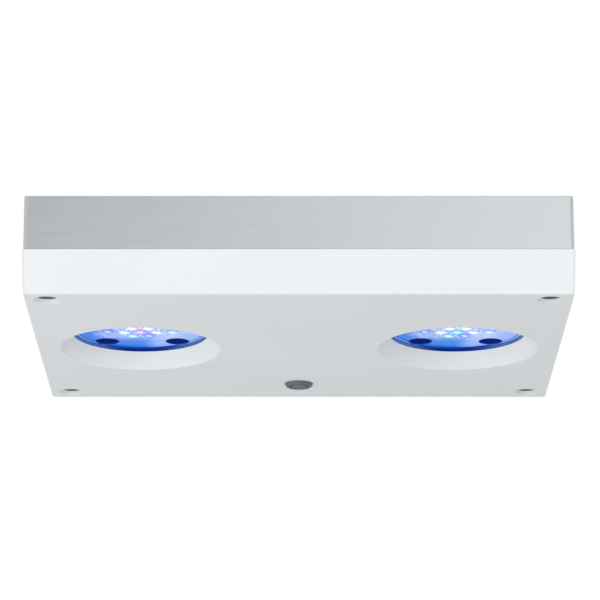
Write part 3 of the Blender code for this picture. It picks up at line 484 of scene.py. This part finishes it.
def deep_plastic(name, colour, pale, brighter=0.0):
    """Dark blue plastic with a faint painted glow, as if lit by the LEDs, and a painted highlight in a
    brighter stripe towards its left and right ends.
    """
    made = Finish(name, IOR=1.49, Specular_IOR_Level=0.2, Roughness=0.10, Emission_Strength=1.0)
    made.wire(Base_Color=made.blend(made.noise((90, 90, 90)), (0.002, 0.01, 0.05), (0.004, 0.02, 0.09)))
    glow = made.blend(made.noise((40.0, 40.0, 900.0)), colour, pale)
    sideways = made.calculate("ABSOLUTE", made.part_of(made.position(), 0))
    # A painted highlight: a brighter stripe at mid height, which grows towards the left and right ends.
    at_ends = made.remap(sideways, (0.0100, 0.0280), (0.0, brighter), smooth=True)
    height = made.calculate("SUBTRACT", made.part_of(made.position(), 2), FACE_Z + SEAL_MIDDLE_RISE)
    stripe = made.remap(made.calculate("ABSOLUTE", height), (0.0003, 0.0007), (1.0, 0.30), smooth=True)
    share = made.calculate("MULTIPLY", at_ends, stripe)
    made.wire(Emission_Color=made.blend(share, glow, (0.075, 0.175, 0.480)))
    return made.material


def led_glow(name, tint):
    """A collimating lens over an LED: a hot core, a facetted tinted ring, and blue at the rim."""
    made = Finish(f"led_{name}", IOR=1.49, Specular_IOR_Level=0.3, Roughness=0.05, Emission_Strength=1.12)
    made.wire(Base_Color=made.blend(made.noise((300, 300, 300)), (0.02, 0.06, 0.25), (0.04, 0.10, 0.32)))
    cells = made.node("ShaderNodeTexVoronoi", {"Vector": made.stretched((560, 560, 560)), "Scale": 1.0})
    share = made.calculate("DIVIDE", made.distance_from_axis(), DOME_RADIUS)
    uneven = made.calculate("ADD", share, made.remap(cells, (0.1, 0.7), (-0.30, 0.35)))
    tinted = made.remap(uneven, (0.72, 1.15), (1.0, 0.0), smooth=True)
    from_tip = made.vector("DISTANCE", made.position(), (0.0, -0.0016, -DOME_HEIGHT), output="Value")
    spread = made.calculate("ADD", from_tip, made.remap(cells, (0.1, 0.7), (-0.0008, 0.0010)))
    hot = made.remap(spread, (0.0008, 0.0031), (1.0, 0.0), smooth=True)
    colour = made.blend(tinted, (0.22, 0.30, 0.66), tint)
    core = [min(1.0, 0.60 + 0.45 * value) for value in tint]
    made.wire(Emission_Color=made.blend(hot, colour, core))
    return made.material


def steel(name, shade):
    """Plated screws and fittings, brightest along their edges."""
    made = Finish(name, Metallic=1.0)
    mottle = made.noise((900, 900, 900))
    low, high, paler_edge = [(shade * value,) * 3 for value in (0.36, 0.50, 0.70)]
    colour = made.blend(mottle, low, high)
    made.wire(Base_Color=made.blend(made.edges(0.00025), colour, paler_edge))
    made.wire(Roughness=made.remap(mottle, (0, 1), (0.24, 0.38)))
    made.bump(made.noise((3000, 3000, 3000)), 0.08, 0.00002)
    return made.material


def raw_aluminium():
    """Extruded heat sink, with drawn lines along its fins."""
    made = Finish("raw_aluminium", Metallic=1.0)
    lines = made.noise((1500, 6, 1500))
    colour = made.blend(lines, (0.54, 0.55, 0.57), (0.68, 0.69, 0.71))
    made.wire(Base_Color=colour, Roughness=made.remap(lines, (0, 1), (0.38, 0.52)))
    made.bump(lines, 0.15, 0.00003)
    return made.material


def moulded(name, low, high, rough, grain=2200.0, depth=0.00003):
    """Dark moulded plastic or rubber: a fine grain, a faint cloud, and paler edges."""
    made = Finish(name, IOR=1.48)
    cloud = made.noise((60, 60, 60))
    fine = made.noise((grain, grain, grain), detail=2.0)
    colour = made.blend(made.calculate("MULTIPLY", made.calculate("ADD", cloud, fine), 0.5), low, high)
    paler_edge = [min(1.0, 1.5 * value + 0.01) for value in high]
    made.wire(Base_Color=made.blend(made.edges(0.00025), colour, paler_edge))
    made.wire(Roughness=made.remap(fine, (0, 1), rough))
    made.bump(fine, 0.2, depth)
    return made.material


def circuit_board(name, mask, traces):
    """Solder mask over a grid of tracks."""
    made = Finish(name, IOR=1.5)
    cells = {"Vector": made.stretched((260, 260, 1)), "Scale": 1.0}
    tracks = made.node("ShaderNodeTexVoronoi", cells, "Distance", distance="MANHATTAN", feature="F1")
    lines = made.remap(tracks, (0.45, 0.5), (0.0, 1.0))
    mottle = made.noise((500, 500, 500))
    made.wire(Base_Color=made.blend(lines, made.blend(mottle, mask, [0.9 * v for v in mask]), traces))
    made.wire(Roughness=made.remap(mottle, (0, 1), (0.35, 0.5)))
    made.bump(lines, 0.3, 0.00003)
    return made.material


FINISHES = {
    "brushed_aluminium": brushed_aluminium(),
    "cover_plastic": cover_plastic(),
    "seal_rubber": moulded("seal_rubber", (0.08, 0.09, 0.10), (0.12, 0.13, 0.14), (0.7, 0.85)),
    "lens_clear": lens_body("lens_clear", LENS_BLUES["left"]),
    # Painted light: the lens rings glow faintly and carry a painted highlight stripe.
    "lens_ring": deep_plastic("lens_ring", (0.0, 0.006, 0.10), (0.001, 0.026, 0.22), 0.8),
    "board_white": circuit_board("board_white", (0.84, 0.85, 0.83), (0.78, 0.79, 0.77)),
    "board_green": circuit_board("board_green", (0.03, 0.20, 0.09), (0.05, 0.30, 0.13)),
    "raw_aluminium": raw_aluminium(),
    "black_plastic": moulded("black_plastic", (0.015, 0.015, 0.017), (0.028, 0.028, 0.03), (0.40, 0.55)),
    "button_grey": moulded("button_grey", (0.120, 0.133, 0.147), (0.155, 0.170, 0.187), (0.36, 0.48)),
    "steel": steel("steel", 1.0),
    "lead_sleeve": moulded("lead_sleeve", (0.02, 0.02, 0.022), (0.035, 0.035, 0.04), (0.5, 0.65)),
}
LENS_FINISHES = {side: lens_body(f"lens_clear_{side}", blue) for side, blue in LENS_BLUES.items()}
# Painted light: the well walls glow faintly.
WELL_WALL = deep_plastic("lens_well", (0.0005, 0.008, 0.11), (0.001, 0.014, 0.16))
# Painted shade: the cover screws are a matte grey darkened for the shade deep in their holes.
SCREW_GREY_AND_SHADE = moulded("screw_grey_and_shade", (0.190, 0.195, 0.200), (0.250, 0.255, 0.260), (0.40, 0.50))
LED_FINISHES = {name: led_glow(name, tint) for name, tint in LED_TINTS.items()}


def dress_cad_nodes():
    """Gives every CAD node the finish that its material slot in the record names."""
    for part in frame["record"]["subparts"]:
        mesh = frame["nodes"][part["node"]].data
        mesh.materials.clear()
        mesh.materials.append(FINISHES[part["material_slot"]])


# ---- Pieces ----


def make_housing():
    """The folded aluminium tray, with chamfered intake slots, end vents and holes."""
    half_x, half_y = HOUSING[1].x, HOUSING[1].y
    low = HOUSING[0].z + 0.0009
    block = rounded_block(half_x, half_y, COVER_SEAM_Z + 0.0003, 0, HOUSING_CORNER, high_edge=0.0004)
    shell = draft_object(block)
    bm = bmesh.new()
    plan_box(bm, half_x - SHEET, half_y - SHEET, low - 0.01, -SHEET)
    carve(shell, bm)
    bm = bmesh.new()
    for screw_place in COVER_SCREWS.values():
        turned(bm, [(0.0045, HOUSING[0].z), (0.0045, -SHEET + 0.0005)], 32, screw_place)
    carve(shell, bm, "UNION")
    bm = bmesh.new()
    for fan in FANS.values():
        for number in range(SLOTS):
            across = (number - (SLOTS - 1) / 2) * SLOT_PITCH
            half_length = math.sqrt(SLOT_FIELD_RADIUS**2 - across**2)
            face = Vector((fan.x, fan.y + across, 0))
            slot(bm, face, Vector((0, 0, -1)), Vector((1, 0, 0)), half_length, SLOT_HALF_WIDTH, 2 * SHEET)
    for side in (-1, 1):
        for number in range(VENTS):
            face = Vector((side * half_x, (number - (VENTS - 1) / 2) * VENT_PITCH, VENT_Z))
            inward = Vector((-side, 0, 0))
            slot(bm, face, inward, Vector((0, 0, 1)), VENT_HALF_HEIGHT, VENT_HALF_WIDTH, 2 * SHEET)
    carve(shell, bm)
    bm = bmesh.new()
    for hanger in HANGERS.values():
        flange = HANGER_FLANGE_RADIUS + 0.0001
        barrel = HANGER_BARREL_RADIUS + 0.0003
        turned(bm, [(barrel, -0.01), (barrel, -0.0010), (flange, -0.0010), (flange, 0.001)], 48, hanger)
    for side in SIDES:
        for number in range(1, 5):
            hole = middle(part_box(f"fan_screw_{side}_{number}"))
            turned(bm, [(0.0018, -0.01), (0.0018, -0.0018), (0.0041, 0.0001), (0.0041, 0.001)], 32, hole)
    carve(shell, bm)
    bm = bmesh.new()
    turned(bm, [(INLET_BUSH_RADIUS + 0.0002, -0.003), (INLET_BUSH_RADIUS + 0.0002, 0.003)], 64)
    matrix = Matrix.Translation((0, half_y, INLET_Z)) @ Matrix.Rotation(-math.pi / 2, 4, "X")
    bmesh.ops.transform(bm, matrix=matrix, verts=bm.verts)
    carve(shell, bm)
    mesh = polish(shell, FINISHES["brushed_aluminium"])
    place("housing_shell", mesh, (0, 0, 0), "brushed_aluminium", ["top_housing"])


def recess_profile():
    """The flared recess from above its throat down past the underside, with soft lips."""
    slope = (MOUTH_RADIUS - THROAT_RADIUS) / THROAT_RISE
    past = 0.0020
    return [
        *soften(
            [
                (THROAT_RADIUS, FACE_Z + THROAT_RISE + past),
                (THROAT_RADIUS, FACE_Z + THROAT_RISE),
                (MOUTH_RADIUS + slope * 0.0002, FACE_Z - 0.0002),
                (MOUTH_RADIUS + past, FACE_Z - 0.0002),
            ],
            0.0005,
        ),
        (MOUTH_RADIUS + past, FACE_Z - past),
    ]


def make_cover():
    """The white moulding, with its flared recesses, button dish and corner dimples."""
    half_x, half_y = COVER[1].x, COVER[1].y
    rim = COVER_SEAM_Z
    floor = FACE_Z + COVER_WALL
    block = rounded_block(half_x, half_y, FACE_Z, rim, COVER_CORNER, COVER_DRAFT, COVER_EDGE, 0.0002)
    shell = draft_object(block)
    bm = bmesh.new()
    plan_box(bm, half_x - 0.0050, half_y - 0.0050, rim - 0.0010, COVER[1].z)
    carve(shell, bm, "UNION")
    bm = bmesh.new()
    plan_box(bm, half_x - 0.0062, half_y - 0.0062, floor, COVER[1].z + 0.001)
    carve(shell, bm)
    bm = bmesh.new()
    for module in MODULES.values():
        turned(bm, [(0.0510, floor - 0.0005), (0.0468, FACE_Z + THROAT_RISE)], 128, module)
    for corner in COVER_SCREWS.values():
        turned(bm, [(0.0078, floor - 0.0005), (0.0078, HOUSING[0].z - CLEARANCE)], 32, corner)
    carve(shell, bm, "UNION")
    bm = bmesh.new()
    for module in MODULES.values():
        turned(bm, recess_profile(), 192, module)
    turned(bm, button_hole_profile(), 96, BUTTON)
    for corner in COVER_SCREWS.values():
        turned(bm, dimple_profile(), 64, corner)
    carve(shell, bm)
    mesh = polish(shell, FINISHES["cover_plastic"])
    place("cover_shell", mesh, (0, 0, 0), "cover_plastic", ["bottom_cover"])


def button_hole_profile():
    """The button's hole in the middle of its shallow dish."""
    return [
        *soften(
            [
                (BUTTON_HOLE_RADIUS, FACE_Z + 2 * COVER_WALL),
                (BUTTON_HOLE_RADIUS, FACE_Z + DISH_DEPTH),
                (BUTTON_HOLE_RADIUS + 0.0012, FACE_Z + DISH_DEPTH),
                (DISH_RADIUS, FACE_Z),
                (DISH_RADIUS + 0.0010, FACE_Z - 0.0001),
            ],
            0.0003,
        ),
        (DISH_RADIUS + 0.0010, FACE_Z - 0.0010),
    ]


def dimple_profile():
    """A conical dimple that leads to the screw's counterbore and clearance hole."""
    return [
        *soften(
            [
                (0.0018, HOUSING[0].z),
                (0.0018, FACE_Z + COUNTERBORE_DEPTH),
                (COUNTERBORE_RADIUS, FACE_Z + COUNTERBORE_DEPTH),
                (COUNTERBORE_RADIUS, FACE_Z + DIMPLE_DEPTH),
                (DIMPLE_FLOOR_RADIUS, FACE_Z + DIMPLE_DEPTH),
                (DIMPLE_RADIUS - 0.0003, FACE_Z + 0.0006),
                (DIMPLE_RADIUS, FACE_Z),
                (DIMPLE_RADIUS + 0.0008, FACE_Z - 0.0001),
            ],
            0.0003,
        ),
        (DIMPLE_RADIUS + 0.0008, FACE_Z - 0.0010),
    ]


def make_lens_plates():
    """Clear plates with deep screw wells. Each LED has its own collimating lens, proud of the plate."""
    front = FACE_Z + LENS_FRONT_RISE
    back = front + LENS_THICKNESS
    wells = [middle(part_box(f"lens_screw_left_{number}")) - MODULES["left"] for number in range(1, 5)]
    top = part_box("lens_plate_left")[1].z
    half_section = [(0.0, 0.0), (LENS_RADIUS, 0.0), (LENS_RADIUS, LENS_THICKNESS), (0.0, LENS_THICKNESS)]
    rim = soften(half_section, 0.0004)
    bm = bmesh.new()
    turned(bm, [(max(radius, 0.001), front + rise) for radius, rise in rim], 160)
    plate = draft_object(bm)
    bm = bmesh.new()
    for well in wells:
        turned(bm, [(WELL_RADIUS + 0.0013, back - 0.0005), (WELL_RADIUS + 0.0013, top)], 64, well)
    for led in led_places():
        turned(bm, [(DOME_RADIUS, back - 0.0005), (0.0030, top - 0.0010)], 32, led)
    carve(plate, bm, "UNION")
    bm = bmesh.new()
    for well in wells:
        lip = WELL_RADIUS + 0.0006
        shaft = [(lip, front - 0.001), (lip, front - 0.0001), (WELL_RADIUS, front + 0.0005)]
        floor = top - 0.0015
        profile = soften([*shaft, (WELL_RADIUS, floor), (0.0018, floor), (0.0018, top + 0.001)], 0.0004)
        turned(bm, profile, 64, well)
    carve(plate, bm)
    mesh = polish(plate, FINISHES["lens_clear"], WELL_WALL)
    for face in mesh.polygons:
        in_well = any((face.center.xy - well.xy).length < WELL_RADIUS + 0.0003 for well in wells)
        if in_well and front + 0.0002 < face.center.z < top - 0.0001:
            face.material_index = 1
    for side, module in MODULES.items():
        lit = mesh.copy()
        lit.materials[0] = LENS_FINISHES[side]
        place(f"lens_{side}", lit, (module.x, module.y, 0), "lens_clear", [f"lens_plate_{side}"])


def led_lens_mesh(name):
    """A low dome whose tip is finely pillowed."""
    bm = bmesh.new()
    profile = [(DOME_RADIUS, 0.0003)]
    for step in range(13):
        turn = math.pi / 2 * step / 13
        profile.append((DOME_RADIUS * math.cos(turn) ** 0.6, -DOME_HEIGHT * math.sin(turn)))
    profile.append((0.0002, -DOME_HEIGHT))
    turned(bm, profile, 48)
    for vert in bm.verts:
        inner = max(0.0, 1 - vert.co.xy.length / (0.8 * DOME_RADIUS))
        pillow = math.cos(vert.co.x * 4200) * math.cos(vert.co.y * 4200)
        vert.co.z += 0.0001 * (1 + pillow) * min(1.0, 2 * inner)
    return polish(draft_object(bm), LED_FINISHES[name])


def make_led_lenses():
    meshes = {name: led_lens_mesh(name) for name in LED_FINISHES}
    front = FACE_Z + LENS_FRONT_RISE
    for side, module in MODULES.items():
        for number, (x, y) in enumerate(led_places()):
            colour = LED_COLOURS[side][number]
            where = (module.x + x, module.y + y, front)
            place(f"led_lens_{side}_{number + 1}", meshes[colour], where, "lens_clear")


def make_lens_seals():
    """Dark rings with two fine grooves round their inner walls."""
    low = FACE_Z + THROAT_RISE + 0.00005
    high = FACE_Z + LENS_FRONT_RISE - 0.00005
    inner = THROAT_RADIUS - 0.0003
    wall = [(inner, low)]
    for groove in (0.35, 0.70):
        height = low + (high - low) * groove
        wall += [(inner, height - 0.0002), (inner + 0.0002, height), (inner, height + 0.0002)]
    wall += [(inner, high), (LENS_RADIUS - 0.0005, high), (LENS_RADIUS - 0.0005, low)]
    bm = bmesh.new()
    turned(bm, wall, 160, closed=True)
    mesh = polish(draft_object(bm), FINISHES["lens_ring"])
    for side, module in MODULES.items():
        place(f"lens_ring_{side}", mesh, (module.x, module.y, 0), "lens_ring", [f"lens_seal_{side}"])


def make_button():
    """A slightly crowned cap with a ring groove, on a flange that keeps it in."""
    cap_low, cap_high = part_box("button_cap")
    flange = cap_high.x
    profile = soften(
        [
            (0.0020, cap_high.z),
            (0.0020, FACE_Z + COVER_WALL + 0.0015),
            (flange, FACE_Z + COVER_WALL + 0.0015),
            (flange, FACE_Z + COVER_WALL + CLEARANCE),
            (BUTTON_RADIUS, FACE_Z + COVER_WALL + CLEARANCE),
            (BUTTON_RADIUS, FACE_Z),
            (BUTTON_TIP_RADIUS, cap_low.z + 0.0001),
            (BUTTON_GROOVE_RADIUS + 0.0009, cap_low.z + 0.0001),
            (BUTTON_GROOVE_RADIUS + 0.0006, cap_low.z + 0.0012),
            (BUTTON_GROOVE_RADIUS - 0.0006, cap_low.z + 0.0012),
            (BUTTON_GROOVE_RADIUS - 0.0008, cap_low.z),
            (0.0002, cap_low.z),
        ],
        0.00035,
    )
    bm = bmesh.new()
    turned(bm, profile, 96)
    mesh = polish(draft_object(bm), FINISHES["button_grey"])
    place("button", mesh, (BUTTON.x, BUTTON.y, 0), "button_grey", ["button_cap"], body="button")


def cut_cross(obj, face, depth, up):
    """A cross drive cut into a screw's face, which looks up (1) or down (-1)."""
    for quarter in (0, 1):
        bm = bmesh.new()
        wide, narrow = 0.00165, 0.0004
        for level, share in ((0.0004, 1.15), (-depth, 0.55)):
            for x in (-1, 1):
                for y in (-1, 1):
                    bm.verts.new((x * wide * share, y * narrow * share, face + up * level))
        bmesh.ops.convex_hull(bm, input=bm.verts)
        bmesh.ops.rotate(bm, verts=bm.verts, matrix=Matrix.Rotation(quarter * math.pi / 2, 3, "Z"))
        carve(obj, bm)


def make_screws():
    """Countersunk fan screws in the top, and pan-head cover screws deep in the corner dimples."""
    top, bottom = -0.0001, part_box("fan_screw_left_1")[0].z
    bm = bmesh.new()
    shank = [(0.0017, -0.0019), (0.0017, bottom), (0.0002, bottom)]
    turned(bm, soften([(0.0002, top), (0.0038, top), *shank], 0.0002), 48)
    screw = draft_object(bm)
    cut_cross(screw, top, 0.0012, 1)
    mesh = polish(screw, FINISHES["steel"])
    for side in SIDES:
        for number in range(1, 5):
            node = f"fan_screw_{side}_{number}"
            where = middle(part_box(node))
            turn = (0, 0, math.radians(17 + 41 * number))
            place(f"{node}_head", mesh, (where.x, where.y, 0), "steel", [node], turn=turn)
    low, high = FACE_Z + DIMPLE_DEPTH + 0.0014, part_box("cover_screw_front_left")[1].z
    # Painted shade: the head's rim rises as a dark sleeve that lines the counterbore, a dark sheet put where
    # the hole lies in shade.
    cup = COUNTERBORE_RADIUS - 0.0001
    head = [(0.0002, low), (0.0034, low), (0.0042, low + 0.0006), (cup - 0.0006, low + 0.0006)]
    rim = [(cup - 0.0004, FACE_Z + DIMPLE_DEPTH), (cup, FACE_Z + DIMPLE_DEPTH), (cup, low + 0.0015)]
    bm = bmesh.new()
    turned(bm, soften([*head, *rim, (0.0015, low + 0.0015), (0.0015, high), (0.0002, high)], 0.0003), 64)
    screw = draft_object(bm)
    cut_cross(screw, low, 0.0013, -1)
    mesh = polish(screw, SCREW_GREY_AND_SHADE)
    for corner, where in COVER_SCREWS.items():
        node = f"cover_screw_{corner}"
        place(f"{node}_head", mesh, (where.x, where.y, 0), "steel", [node])


def make_hangers():
    """Flush threaded inserts."""
    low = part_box("hanger_nut_front_left")[0].z
    thread = []
    for turn in range(10):
        height = -0.0100 + 0.0009 * turn
        thread += [(0.0021, height), (0.0024, height + 0.00045)]
    bore = [(0.0002, -0.0110), (0.0021, -0.0110), *thread, (0.0021, -0.0008), (0.0026, -0.0002)]
    outside = [
        (0.0030, 0.0),
        (HANGER_FLANGE_RADIUS - 0.0003, 0.0),
        (HANGER_FLANGE_RADIUS, -0.0003),
        (HANGER_FLANGE_RADIUS, -0.0007),
        (HANGER_BARREL_RADIUS, -0.0007),
        (HANGER_BARREL_RADIUS, -0.0023),
        (HANGER_BARREL_RADIUS + 0.0012, -0.0028),
        (HANGER_BARREL_RADIUS, -0.0042),
        (HANGER_BARREL_RADIUS, low),
        (0.0002, low),
    ]
    bm = bmesh.new()
    turned(bm, bore + outside, 64)
    mesh = polish(draft_object(bm), FINISHES["steel"])
    for corner, where in HANGERS.items():
        place(f"hanger_insert_{corner}", mesh, (where.x, where.y, 0), "steel", [f"hanger_nut_{corner}"])


def make_inlet():
    """The power socket with its threaded bush and pin, and its chamfered nut."""
    rear = HOUSING[1].y
    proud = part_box("power_inlet")[1].y - rear
    shoulder = -(SHEET + CLEARANCE)
    thread = []
    for turn in range(6):
        height = proud - 0.0006 - 0.0007 * turn
        thread += [(INLET_BUSH_RADIUS, height), (INLET_BUSH_RADIUS - 0.00025, height - 0.00035)]
    profile = [
        (0.0002, proud - 0.0018),
        (0.0007, proud - 0.0018),
        (0.0010, proud - 0.0021),
        (0.0010, proud - 0.0095),
        (0.00275, proud - 0.0095),
        (0.00275, proud - 0.0005),
        (0.00325, proud),
        (INLET_BUSH_RADIUS - 0.0004, proud),
        *thread,
        (INLET_BUSH_RADIUS, shoulder),
        (0.0070, shoulder),
        (0.0070, shoulder - 0.0130),
        (0.0002, shoulder - 0.0130),
    ]
    bm = bmesh.new()
    turned(bm, profile, 72)
    to_rear = (-math.pi / 2, 0, 0)
    where = (0, rear, INLET_Z)
    mesh = polish(draft_object(bm), FINISHES["black_plastic"])
    place("power_socket", mesh, where, "black_plastic", ["power_inlet"], turn=to_rear)
    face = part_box("inlet_nut")[1].y - rear
    radius = 0.0080
    bm = bmesh.new()
    turned(bm, [(radius, CLEARANCE), (radius, face)], 6)
    nut = draft_object(bm)
    bm = bmesh.new()
    turned(bm, [(radius + 0.001, 0), (radius + 0.001, face - 0.0009), (radius - 0.0012, face + 0.0001)], 96)
    carve(nut, bm, "INTERSECT")
    bm = bmesh.new()
    bore = INLET_BUSH_RADIUS + 0.0001
    turned(bm, [(bore, -0.001), (bore, face - 0.0004), (bore + 0.0006, face + 0.0002)], 96)
    carve(nut, bm)
    mesh = polish(nut, FINISHES["steel"])
    place("socket_nut", mesh, where, "steel", ["inlet_nut"], turn=to_rear)


def blade_grid(bm, angle, low, high):
    """One cambered blade, wrapped round the fan's axis, that flattens from root to tip."""
    spans, chords = 9, 8
    grid = []
    for span in range(spans):
        share = span / (spans - 1)
        radius = HUB_RADIUS - 0.0010 + share * (BLADE_TIP_RADIUS - HUB_RADIUS + 0.0010)
        pitch = math.radians(40 + 22 * share)
        row = []
        for step in range(chords):
            along = step / (chords - 1) - 0.5
            camber = 0.0012 * (1 - 4 * along**2)
            chord = 0.0128 * along
            y = camber * math.cos(pitch) - chord * math.sin(pitch)
            z = (low + high) / 2 + 0.78 * (camber * math.sin(pitch) + chord * math.cos(pitch))
            turn = angle + y / radius
            row.append(bm.verts.new((radius * math.cos(turn), radius * math.sin(turn), z)))
        grid.append(row)
    for inner, outer in zip(grid, grid[1:]):
        for step in range(chords - 1):
            bm.faces.new((inner[step], inner[step + 1], outer[step + 1], outer[step]))


def make_fans():
    """Square frames with a round duct and a strutted motor seat, and impellers that turn in them."""
    frame_low, frame_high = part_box("fan_frame_left")
    low, high = frame_low.z, frame_high.z
    body = draft_object(rounded_block(FAN_HALF, FAN_HALF, low, high, 0.0040, 0.0, 0.0003, 0.0003))
    bm = bmesh.new()
    duct = [(DUCT_RADIUS + 0.0006, low - 0.001), (DUCT_RADIUS + 0.0006, low), (DUCT_RADIUS, low + 0.0008)]
    duct += [(DUCT_RADIUS, high - 0.0008), (DUCT_RADIUS + 0.0006, high), (DUCT_RADIUS + 0.0006, high + 0.001)]
    turned(bm, duct, 128)
    for x in (-1, 1):
        for y in (-1, 1):
            turned(bm, [(0.0022, low - 0.001), (0.0022, high + 0.001)], 24, (0.03575 * x, 0.03575 * y))
    carve(body, bm)
    bm = bmesh.new()
    for quarter in range(4):
        strut = box(bm, (HUB_RADIUS - 0.002, -0.0015, low), (DUCT_RADIUS + 0.001, 0.0015, low + 0.002))
        bmesh.ops.rotate(bm, verts=strut, matrix=Matrix.Rotation((quarter + 0.5) * math.pi / 2, 3, "Z"))
    carve(body, bm, "UNION")
    bm = bmesh.new()
    seat = [(HUB_RADIUS, low + 0.0002), (HUB_RADIUS, low + 0.0022), (0.0035, low + 0.0022)]
    seat += [(0.0035, high - 0.0037), (0.0015, high - 0.0037), (0.0015, low + 0.0012)]
    turned(bm, seat, 64)
    carve(body, bm, "UNION")
    mesh = polish(body, FINISHES["black_plastic"])
    for side, fan in FANS.items():
        place(f"fan_body_{side}", mesh, (fan.x, fan.y, 0), "black_plastic", [f"fan_frame_{side}"])
    rotor_low, rotor_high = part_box("fan_impeller_left")
    top, skirt = rotor_high.z, low + 0.0030
    bm = bmesh.new()
    cup = [(0.0011, rotor_low.z), (0.0011, top - 0.002), (HUB_RADIUS - 0.002, top - 0.002)]
    cup += [(HUB_RADIUS - 0.002, skirt), (HUB_RADIUS, skirt), (HUB_RADIUS, top), (0.0002, top)]
    turned(bm, soften(cup, 0.0008), 96)
    rotor = draft_object(bm)
    bm = bmesh.new()
    for blade in range(7):
        blade_grid(bm, blade * math.tau / 7, skirt, top)
    blades = draft_object(bm, "blades")
    thick = blades.modifiers.new("thick", "SOLIDIFY")
    thick.thickness = 0.0010
    thick.offset = 0
    settle(blades)
    bm = bmesh.new()
    bm.from_mesh(blades.data)
    bpy.data.objects.remove(blades)
    carve(rotor, bm, "UNION")
    mesh = polish(rotor, FINISHES["black_plastic"])
    for side, fan in FANS.items():
        node = f"fan_impeller_{side}"
        place(f"fan_rotor_{side}", mesh, (fan.x, fan.y, 0), "black_plastic", [node], body=f"fan_{side}")


# ---- Camera, light and floor ----


def make_camera():
    data = bpy.data.cameras.new("camera")
    data.lens = 194.2
    data.sensor_width = 36
    data.clip_end = 50
    camera = bpy.data.objects.new("camera", data)
    camera.location = (0.0007, -1.876, -0.5735)
    camera.rotation_euler = (math.radians(90 + 16.21), 0, 0)
    bpy.context.scene.collection.objects.link(camera)
    bpy.context.scene.camera = camera


def softbox(name, where, size, power, colour=(1, 1, 1)):
    """A square soft light that faces the middle of the object."""
    data = bpy.data.lights.new(name, "AREA")
    data.size = size
    data.energy = power
    data.color = colour
    light = bpy.data.objects.new(name, data)
    light.location = where
    aim = Vector((0, 0, -0.03)) - Vector(where)
    light.rotation_euler = aim.to_track_quat("-Z", "Y").to_euler()
    light.visible_camera = False
    bpy.context.scene.collection.objects.link(light)


def make_world(strength):
    """A white surround, seen as pure white, that lights the object a little less brightly."""
    world = bpy.data.worlds.new("studio")
    world.use_nodes = True
    tree = world.node_tree
    surround = tree.nodes["Background"]
    seen = tree.nodes.new("ShaderNodeLightPath")
    share = tree.nodes.new("ShaderNodeMapRange")
    share.inputs["To Min"].default_value = strength
    share.inputs["To Max"].default_value = 1.0
    surround.inputs["Color"].default_value = (1, 1, 1, 1)
    tree.links.new(seen.outputs["Is Camera Ray"], share.inputs["Value"])
    tree.links.new(share.outputs["Result"], surround.inputs["Strength"])
    bpy.context.scene.world = world


def make_floor():
    """A plain pale floor, well below the hanging light, with a soft glow of its own for an even underside."""
    bm = bmesh.new()
    bmesh.ops.create_grid(bm, x_segments=1, y_segments=1, size=12)
    floor = draft_object(bm, "floor")
    floor.location.z = -2.0
    paint = Finish("floor_paint", Roughness=0.9, Emission_Color=(1, 1, 1), Emission_Strength=0.30)
    paint.wire(Base_Color=paint.blend(paint.noise((1.5, 1.5, 1.5)), (0.88, 0.885, 0.89), (0.90, 0.905, 0.91)))
    floor.data.materials.append(paint.material)


def make_studio():
    make_camera()
    make_world(0.092)
    make_floor()
    softbox("softbox_right", (0.68, -1.17, 0.36), 1.8, 11.8)
    softbox("softbox_front", (0.0, -1.40, 0.30), 1.8, 2.5)
    softbox("softbox_left", (-0.62, -0.68, -0.39), 1.3, 4.9)
    softbox("softbox_above", (0.0, 0.0, 2.4), 3.6, 33.0)
    softbox("softbox_behind", (-0.4, 2.2, 0.9), 3.0, 14.0)
    softbox("softbox_far_left", (-2.1, 0.4, 0.3), 2.6, 12.0)
    softbox("softbox_far_right", (2.1, 0.4, 0.3), 2.6, 11.0)
    bpy.context.scene.view_settings.view_transform = "Standard"


make_studio()
dress_cad_nodes()
make_housing()
make_cover()
make_lens_plates()
make_led_lenses()
make_lens_seals()
make_button()
make_screws()
make_hangers()
make_inlet()
make_fans()
